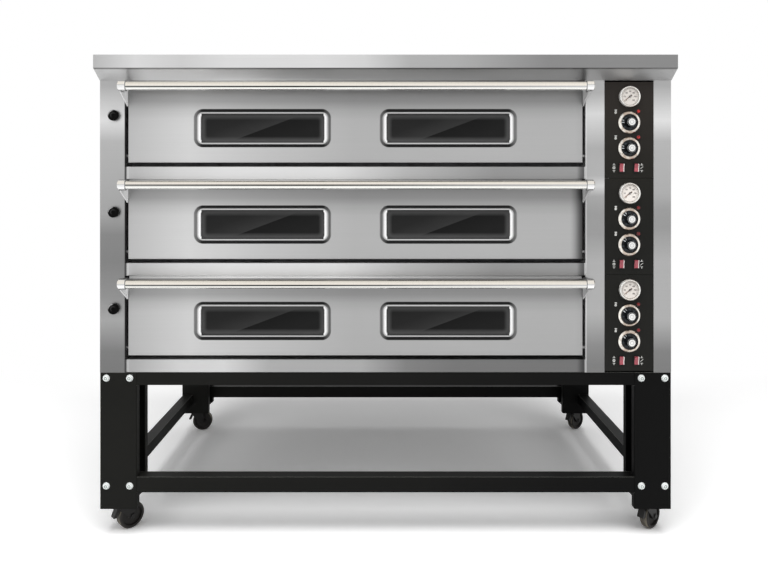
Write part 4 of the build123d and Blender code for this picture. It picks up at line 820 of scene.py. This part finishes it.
def ring(shape, at, inner, outer, front, back, segments=48):
    """Flat washer about a front-to-back line."""
    outline = [(inner, back), (inner, front), (outer, front), (outer, back), (inner, back)]
    lathe(shape, at, outline, segments)
    bmesh.ops.remove_doubles(shape, verts=shape.verts, dist=WELD)


def bridge(shape, near, far):
    """Closed solid between two outlines that have the same number of corners."""
    near = [shape.verts.new(corner) for corner in near]
    far = [shape.verts.new(corner) for corner in far]
    shape.faces.new(near)
    shape.faces.new(far[::-1])
    for index in range(len(near)):
        after = (index + 1) % len(near)
        shape.faces.new([near[index], far[index], far[after], near[after]])


def prism(shape, corners, front, back):
    """Flat plate with the given (x, z) corners, between two y values."""
    bridge(shape, [(x, front, z) for x, z in corners], [(x, back, z) for x, z in corners])


def spoke(shape, at, angle, start, end, width, front, back):
    """Thin radial mark."""
    aside = (-math.sin(angle) * width / 2, math.cos(angle) * width / 2)
    corners = []
    for distance, side in ((start, -1), (end, -1), (end, 1), (start, 1)):
        x, z = around(at, distance, angle)
        corners.append((x + side * aside[0], z + side * aside[1]))
    prism(shape, corners, front, back)


# ---- Printed marks ---------------------------------------------------------------------------
INK = 0.0002
DEGREES_PER_NUMBER = 50
DIGIT_PITCH = 0.8
SEGMENTS = {
    "top": ((-0.5, 1.0), (0.5, 1.0)),
    "middle": ((-0.5, 0.0), (0.5, 0.0)),
    "bottom": ((-0.5, -1.0), (0.5, -1.0)),
    "upper_left": ((-0.5, 0.0), (-0.5, 1.0)),
    "upper_right": ((0.5, 0.0), (0.5, 1.0)),
    "lower_left": ((-0.5, -1.0), (-0.5, 0.0)),
    "lower_right": ((0.5, -1.0), (0.5, 0.0)),
}
DIGITS = {
    "0": ("top", "bottom", "upper_left", "upper_right", "lower_left", "lower_right"),
    "1": ("upper_right", "lower_right"),
    "2": ("top", "middle", "bottom", "upper_right", "lower_left"),
    "3": ("top", "middle", "bottom", "upper_right", "lower_right"),
    "5": ("top", "middle", "bottom", "upper_left", "lower_right"),
}


def stroke(shape, start, end, width, front, back):
    """Straight printed line from start to end, as (x, z), with square ends."""
    along = Vector((end[0] - start[0], end[1] - start[1]))
    along.normalize()
    aside = Vector((-along[1], along[0])) * width / 2
    along *= width / 2
    first, last = Vector(start) - along, Vector(end) + along
    prism(shape, (first - aside, last - aside, last + aside, first + aside), front, back)


def number(shape, text, at, height, width, front, back):
    """Upright digits centred on at."""
    pitch = height * DIGIT_PITCH
    for index, digit in enumerate(text):
        x = at[0] + (index - (len(text) - 1) / 2) * pitch
        for name in DIGITS[digit]:
            ends = [(x + u * height * 0.5, at[1] + v * height * 0.5) for u, v in SEGMENTS[name]]
            stroke(shape, ends[0], ends[1], width, front, back)


# ---- Materials of the fittings ---------------------------------------------------------------
dial_white = painted("dial_white", rgb(228, 222, 216), 0.4, 0.3, 1500.0, 0.03)
print_black = painted("print_black", rgb(116, 110, 106), 0.5, 0.2, 1500.0, 0.03)
print_white = painted("print_white", rgb(226, 230, 232), 0.5, 0.2, 1500.0, 0.03)
print_grey = painted("print_grey", rgb(214, 214, 210), 0.5, 0.2, 1500.0, 0.03)
print_dim = painted("print_dim", rgb(84, 92, 98), 0.5, 0.2, 1500.0, 0.03)
cap_silver = steel(Graph("cap_silver"), rgb(240, 240, 238), 0.25, 0.9, (300.0, 300.0, 300.0))
cap_shade = steel(Graph("cap_shade"), grey(176), 0.3, 0.9, (300.0, 300.0, 300.0))
door_lip_steel = lip_steel()
socket_dark = painted("socket_dark", rgb(158, 166, 162), 0.4, 0.4, 900.0, 0.1, None, 0.6)

# ---- Gauges ----------------------------------------------------------------------------------
DIAL_RADIUS = 0.0252
DIAL_HOLE = 0.0014
DIAL_RIM = 0.0009
DIAL_SINK = 0.005
DIAL_SEGMENTS = 96
SCALE_START = 225.0
SCALE_SWEEP = 270.0
SCALE_TICKS = 60
TICKS_PER_NUMBER = 10
TICK_END = 0.0228
TICK_START, TICK_WIDTH = 0.0205, 0.0003
LONG_TICK_START, LONG_TICK_WIDTH = 0.0185, 0.0006
DIAL_NUMBER_RADIUS = 0.015
DIAL_NUMBER_HEIGHT, DIAL_NUMBER_WIDTH = 0.0032, 0.0006


def scale_angle(tick):
    """Angle of a tick, counted clockwise from the start of the scale."""
    return math.radians(SCALE_START - SCALE_SWEEP * tick / SCALE_TICKS)


def gauge_print(at, front, back):
    """Rim line, ticks and numbers of one dial."""
    shape = bmesh.new()
    ring(shape, at, DIAL_RADIUS - DIAL_RIM, DIAL_RADIUS, front, back, DIAL_SEGMENTS)
    for tick in range(SCALE_TICKS + 1):
        start, width = TICK_START, TICK_WIDTH
        if tick % TICKS_PER_NUMBER == 0:
            start, width = LONG_TICK_START, LONG_TICK_WIDTH
        spoke(shape, at, scale_angle(tick), start, TICK_END, width, front, back)
    for tick in range(0, SCALE_TICKS + 1, TICKS_PER_NUMBER):
        text = str(DEGREES_PER_NUMBER * tick // TICKS_PER_NUMBER)
        place = around(at, DIAL_NUMBER_RADIUS, scale_angle(tick))
        number(shape, text, place, DIAL_NUMBER_HEIGHT, DIAL_NUMBER_WIDTH, front, back)
    return shape


gauge_face = gauge_low.y + DIAL_SINK
for level, deck in enumerate(DECKS):
    at = (PANEL_X, GAUGE_Z + PITCH * level)
    shape = bmesh.new()
    ring(shape, at, DIAL_HOLE, DIAL_RADIUS, gauge_face - INK, gauge_face, DIAL_SEGMENTS)
    piece(f"{deck}_gauge_dial", shape, "root", dial_white)
    shape = gauge_print(at, gauge_face - 2 * INK, gauge_face - INK)
    piece(f"{deck}_gauge_print", shape, "root", print_black, False)

# ---- Knobs -----------------------------------------------------------------------------------
KNOB_MARK_TURNS = {"upper": 180.0, "middle": 142.0, "lower": 142.0}
KNOB_GRIP_REACH = 0.021
KNOB_NUMBERS = 7
KNOB_SWEEP = 300.0
KNOB_NUMBER_RADIUS = 0.0168
KNOB_NUMBER_HEIGHT, KNOB_NUMBER_WIDTH = 0.0036, 0.0007
KNOB_TICK_START, KNOB_TICK_END, KNOB_TICK_WIDTH = 0.0205, 0.0228, 0.0008
CAP_RING_INNER, CAP_RING_OUTER = 0.0046, 0.0056
CAP_RING_FRONT, CAP_RING_BACK = -0.0007, -0.0003
# Strokes of a pointer, as (turn in degrees, start, end, width).
POINTER_STROKES = ((0.0, 0.0125, 0.0225, 0.0022), (-20.0, 0.0165, 0.0225, 0.0016))
KNOB_CAP_OUTLINE = (
    (0, 0.0008), (0.0035, 0.0008), (0.0045, 0.0004), (0.0085, 0.0004), (0.0103, -0.0002),
    (0.0112, -0.0016), (0.0119, -0.0016), (0.0119, -0.004), (0, -0.004),
)
RING_LIP_OUTLINE = (
    (0.0241, -0.0006), (0.0245, 0.0006), (0.0258, 0.0008), (0.0268, -0.0004), (0.0262, -0.0014),
    (0.0241, -0.0006),
)


def knob_cap(at, face):
    """Stepped silver cap on the front of a knob's grip."""
    shape = bmesh.new()
    lathe(shape, at, stood(KNOB_CAP_OUTLINE, face, FORWARD))
    return shape


def cap_ring(at, face):
    """Dull ring on the step of the cap."""
    shape = bmesh.new()
    ring(shape, at, CAP_RING_INNER, CAP_RING_OUTER, face + CAP_RING_FRONT, face + CAP_RING_BACK)
    return shape


def knob_pointer(at, mark, face):
    """Long and short white strokes that show where a knob points."""
    shape = bmesh.new()
    for turn, start, end, width in POINTER_STROKES:
        spoke(shape, at, mark + math.radians(turn), start, end, width, face - INK, face + INK)
    return shape


def knob_marks(at, mark, face):
    """Dim ticks and numbers round a knob's disc, but none where the pointer is."""
    shape = bmesh.new()
    front, back = face - INK, face + INK
    for index in range(KNOB_NUMBERS):
        angle = mark + math.radians(KNOB_SWEEP * index / (KNOB_NUMBERS - 1) - KNOB_SWEEP / 2)
        if index != KNOB_NUMBERS // 2:
            spoke(shape, at, angle, KNOB_TICK_START, KNOB_TICK_END, KNOB_TICK_WIDTH, front, back)
            place = around(at, KNOB_NUMBER_RADIUS, angle)
            text = str(DEGREES_PER_NUMBER * index)
            number(shape, text, place, KNOB_NUMBER_HEIGHT, KNOB_NUMBER_WIDTH, front, back)
    return shape


def ring_lip(at, face):
    """Raised lip round the ring behind a knob."""
    shape = bmesh.new()
    lathe(shape, at, stood(RING_LIP_OUTLINE, face, FORWARD))
    bmesh.ops.remove_doubles(shape, verts=shape.verts, dist=WELD)
    return shape


for deck in DECKS:
    mark = math.radians(KNOB_MARK_TURNS[deck])
    for place in ("bottom_heat", "top_heat"):
        node = f"{deck}_{place}_knob"
        dial = f"{deck}_{place}_dial"
        low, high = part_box(node)
        at = middle_of(low, high)
        disc = face_beyond(node, at, KNOB_GRIP_REACH)
        piece(f"{deck}_{place}_cap", knob_cap(at, low.y), dial, cap_silver)
        piece(f"{deck}_{place}_cap_ring", cap_ring(at, low.y), dial, cap_shade)
        shape = knob_pointer(at, mark, disc)
        piece(f"{deck}_{place}_pointer", shape, dial, print_white, False)
        shape = knob_marks(at, mark, disc)
        piece(f"{deck}_{place}_marks", shape, dial, print_dim, False)
        shape = ring_lip(at, RING_FACE)
        piece(f"{deck}_{place}_ring_lip", shape, "root", materials["ring_chrome"])

# ---- Marks on the panel ----------------------------------------------------------------------
LAMP_MARK_X = PANEL_X - 0.039
LAMP_MARK_DROP = 0.001
# Lines above a lamp's ring, as (lift, start, end, width).
LAMP_LINES = ((0.0050, -0.0018, 0.0026, 0.0024), (0.0022, -0.0006, 0.0018, 0.0016))
POWER_MARK_X = PANEL_X - 0.044
LIGHT_MARK_X = PANEL_X + 0.0365
MARK_FRONT, MARK_BACK = PANEL_FRONT - INK, PANEL_FRONT + INK


def lamp_mark(shape, x, z):
    """Small ring with two short lines above it, beside a lamp."""
    ring(shape, (x, z - 0.0022), 0.0011, 0.0034, MARK_FRONT, MARK_BACK, 24)
    for lift, start, end, width in LAMP_LINES:
        stroke(shape, (x + start, z + lift), (x + end, z + lift), width, MARK_FRONT, MARK_BACK)


def switch_mark(shape, x, z):
    """Ray and bar above and below the place of a switch's own mark."""
    for side in (-1, 1):
        ray = ((x, z + side * 0.0088), (x, z + side * 0.0118))
        stroke(shape, ray[0], ray[1], 0.0018, MARK_FRONT, MARK_BACK)
        bar = ((x - 0.0032, z + side * 0.0078), (x + 0.0032, z + side * 0.0078))
        stroke(shape, bar[0], bar[1], 0.0013, MARK_FRONT, MARK_BACK)


shape = bmesh.new()
for low, high in islands("indicator_lamps"):
    lamp_mark(shape, LAMP_MARK_X, middle_of(low, high)[1] - LAMP_MARK_DROP)
for deck in DECKS:
    z = middle_of(*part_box(f"{deck}_power_switch"))[1]
    switch_mark(shape, POWER_MARK_X, z)
    switch_mark(shape, LIGHT_MARK_X, z)
    ring(shape, (POWER_MARK_X, z), 0.0018, 0.0040, MARK_FRONT, MARK_BACK, 24)
    slash = ((LIGHT_MARK_X - 0.0034, z - 0.0028), (LIGHT_MARK_X + 0.0034, z + 0.0028))
    stroke(shape, slash[0], slash[1], 0.0014, MARK_FRONT, MARK_BACK)
piece("panel_marks", shape, "root", print_grey, False)

# ---- Sockets in the heads of the stand's bolts -----------------------------------------------
SOCKET_OUTLINE = (
    (0, -0.0004), (0.0024, 0.0001), (0.0038, 0.0005), (0.0046, 0.0005), (0.0052, -0.0004), (0, -0.0006),
)
shape = bmesh.new()
for low, high in islands("stand_bolts"):
    outward = FORWARD if low.y + high.y < 0 else BACKWARD
    face = low.y if outward == FORWARD else high.y
    lathe(shape, middle_of(low, high), stood(SOCKET_OUTLINE, face, outward), 24)
piece("bolt_sockets", shape, "root", socket_dark)

# ---- Folded lips along the tops of the doors -------------------------------------------------
DOOR_LIP_INSET = 0.016
DOOR_LIP_SET_BACK = 0.0008
# Corners as (y, z), from the lip's front and the door's top.
DOOR_LIP_OUTLINE = (
    (0.0004, -0.001), (0, 0.0006), (0, 0.0044), (0.0008, 0.0053), (0.002, 0.0053), (0.002, -0.001),
)
for deck, (low, high) in zip(DECKS, door_boxes):
    front = low.y + DOOR_LIP_SET_BACK
    ends = []
    for x in (low.x + DOOR_LIP_INSET, high.x - DOOR_LIP_INSET):
        ends.append([(x, front + y, high.z + z) for y, z in DOOR_LIP_OUTLINE])
    shape = bmesh.new()
    bridge(shape, ends[0], ends[1])
    piece(f"{deck}_door_lip", shape, f"{deck}_door", door_lip_steel, False)

# ---- Screws round the rear panel -------------------------------------------------------------
SCREW_COLUMNS = 9
SCREW_ROWS = 5
SCREW_INSET = 0.014
SCREW_OUTLINE = ((0, 0.0016), (0.0026, 0.0014), (0.0042, 0.0006), (0.0045, -0.0004), (0, -0.0004))
rear_low, rear_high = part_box("rear_panel")
screw_width = rear_high.x - rear_low.x - 2 * SCREW_INSET
screw_height = rear_high.z - rear_low.z - 2 * SCREW_INSET
shape = bmesh.new()
for column in range(SCREW_COLUMNS):
    for row in range(SCREW_ROWS):
        if column in (0, SCREW_COLUMNS - 1) or row in (0, SCREW_ROWS - 1):
            x = rear_low.x + SCREW_INSET + screw_width * column / (SCREW_COLUMNS - 1)
            z = rear_low.z + SCREW_INSET + screw_height * row / (SCREW_ROWS - 1)
            lathe(shape, (x, z), stood(SCREW_OUTLINE, rear_high.y, BACKWARD), 20)
piece("rear_screws", shape, "root", materials["bolt_zinc"])

# ---- Camera ----------------------------------------------------------------------------------
camera = bpy.data.objects.new("camera", bpy.data.cameras.new("camera"))
bpy.context.scene.collection.objects.link(camera)
camera.location = (0.0, -2.41275, 1.046)
camera.rotation_euler = (math.radians(90), 0, 0)
camera.data.lens = 32.0
camera.data.sensor_width = 36.0
camera.data.shift_x = -0.002
camera.data.shift_y = -0.1445
bpy.context.scene.camera = camera

# ---- Floor -----------------------------------------------------------------------------------
FLOOR_HALF = 12.0
# The floor turns to white backdrop behind the oven, and beyond a radius on every side.
BACKDROP_START = BODY_BACK + 0.35
BACKDROP_END = BODY_BACK + 0.75
BACKDROP_NEAR = 1.7
BACKDROP_FAR = 2.5
floor_shape = bmesh.new()
for x, y in ((-1, -1), (1, -1), (1, 1), (-1, 1)):
    floor_shape.verts.new((x * FLOOR_HALF, y * FLOOR_HALF, 0))
floor_shape.faces.new(floor_shape.verts)
floor_mesh = bpy.data.meshes.new("floor")
floor_shape.to_mesh(floor_mesh)
floor_shape.free()
floor = bpy.data.objects.new("floor", floor_mesh)
bpy.context.scene.collection.objects.link(floor)
floor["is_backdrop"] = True


def floor_paint():
    """Pale diffuse floor that reads as white to the camera and runs into a white backdrop."""
    graph = Graph("floor_pale")
    mottle = graph.noise(40.0, (1, 1, 1), 3.0)
    path = graph.node("ShaderNodeLightPath")
    tone = graph.blend(mottle, grey(228), grey(234))
    tone = graph.blend(path.outputs["Is Glossy Ray"], tone, (0.92, 0.92, 0.92, 1))
    tone = graph.blend(path.outputs["Is Camera Ray"], tone, (1.24, 1.24, 1.24, 1))
    diffuse = graph.node("ShaderNodeBsdfDiffuse")
    graph.plug(tone, diffuse.inputs["Color"])
    white = graph.node("ShaderNodeEmission")
    white.inputs["Color"].default_value = (1, 1, 1, 1)
    seen = graph.calc("MAXIMUM", path.outputs["Is Camera Ray"], path.outputs["Is Glossy Ray"])
    behind = graph.span(graph.y, BACKDROP_START, BACKDROP_END)
    beyond = graph.span(graph.length(graph.x, graph.y), BACKDROP_NEAR, BACKDROP_FAR)
    mixed = graph.node("ShaderNodeMixShader")
    graph.plug(graph.times(seen, graph.calc("MAXIMUM", behind, beyond)), mixed.inputs[0])
    graph.plug(diffuse.outputs[0], mixed.inputs[1])
    graph.plug(white.outputs[0], mixed.inputs[2])
    out = graph.node("ShaderNodeOutputMaterial")
    graph.plug(mixed.outputs[0], out.inputs[0])
    return graph.material


floor_mesh.materials.append(floor_paint())

# ---- Light -----------------------------------------------------------------------------------
SKY_LIGHT = 0.42


def studio_world():
    """White surroundings: full strength where seen, mirrored or looked at through glass, else dimmer."""
    world = bpy.data.worlds.new("studio")
    world.use_nodes = True
    nodes, links = world.node_tree.nodes, world.node_tree.links
    nodes.clear()
    path = nodes.new("ShaderNodeLightPath")
    seen = path.outputs["Is Camera Ray"]
    for kind in ("Is Glossy Ray", "Is Transmission Ray"):
        either = nodes.new("ShaderNodeMath")
        either.operation = "MAXIMUM"
        links.new(seen, either.inputs[0])
        links.new(path.outputs[kind], either.inputs[1])
        seen = either.outputs[0]
    strength = nodes.new("ShaderNodeMapRange")
    strength.inputs["To Min"].default_value = SKY_LIGHT
    strength.inputs["To Max"].default_value = 1.0
    links.new(seen, strength.inputs["Value"])
    sky = nodes.new("ShaderNodeBackground")
    sky.inputs["Color"].default_value = (1, 1, 1, 1)
    links.new(strength.outputs[0], sky.inputs["Strength"])
    world_out = nodes.new("ShaderNodeOutputWorld")
    links.new(sky.outputs[0], world_out.inputs[0])
    return world


bpy.context.scene.world = studio_world()


def softbox(name, at, target, size, watts):
    """Rectangular area light aimed at a target, and left out of reflections."""
    data = bpy.data.lights.new(name, "AREA")
    data.shape = "RECTANGLE"
    data.size, data.size_y = size
    data.energy = watts
    lamp = bpy.data.objects.new(name, data)
    bpy.context.scene.collection.objects.link(lamp)
    lamp.location = at
    lamp.rotation_euler = (Vector(target) - Vector(at)).to_track_quat("-Z", "Y").to_euler()
    lamp.visible_glossy = False


softbox("top_box", (0.0, -1.35, 3.6), (0.0, -0.3, 0.0), (3.4, 2.7), 130)
softbox("left_box", (-2.6, -2.6, 2.4), (-0.3, -0.3, 0.8), (1.8, 1.8), 25)
softbox("right_box", (2.8, -2.2, 2.0), (0.3, -0.3, 0.8), (1.6, 1.6), 15)

# ---- Settings and sizes ----------------------------------------------------------------------
bpy.context.scene.view_settings.view_transform = "Standard"
low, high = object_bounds()
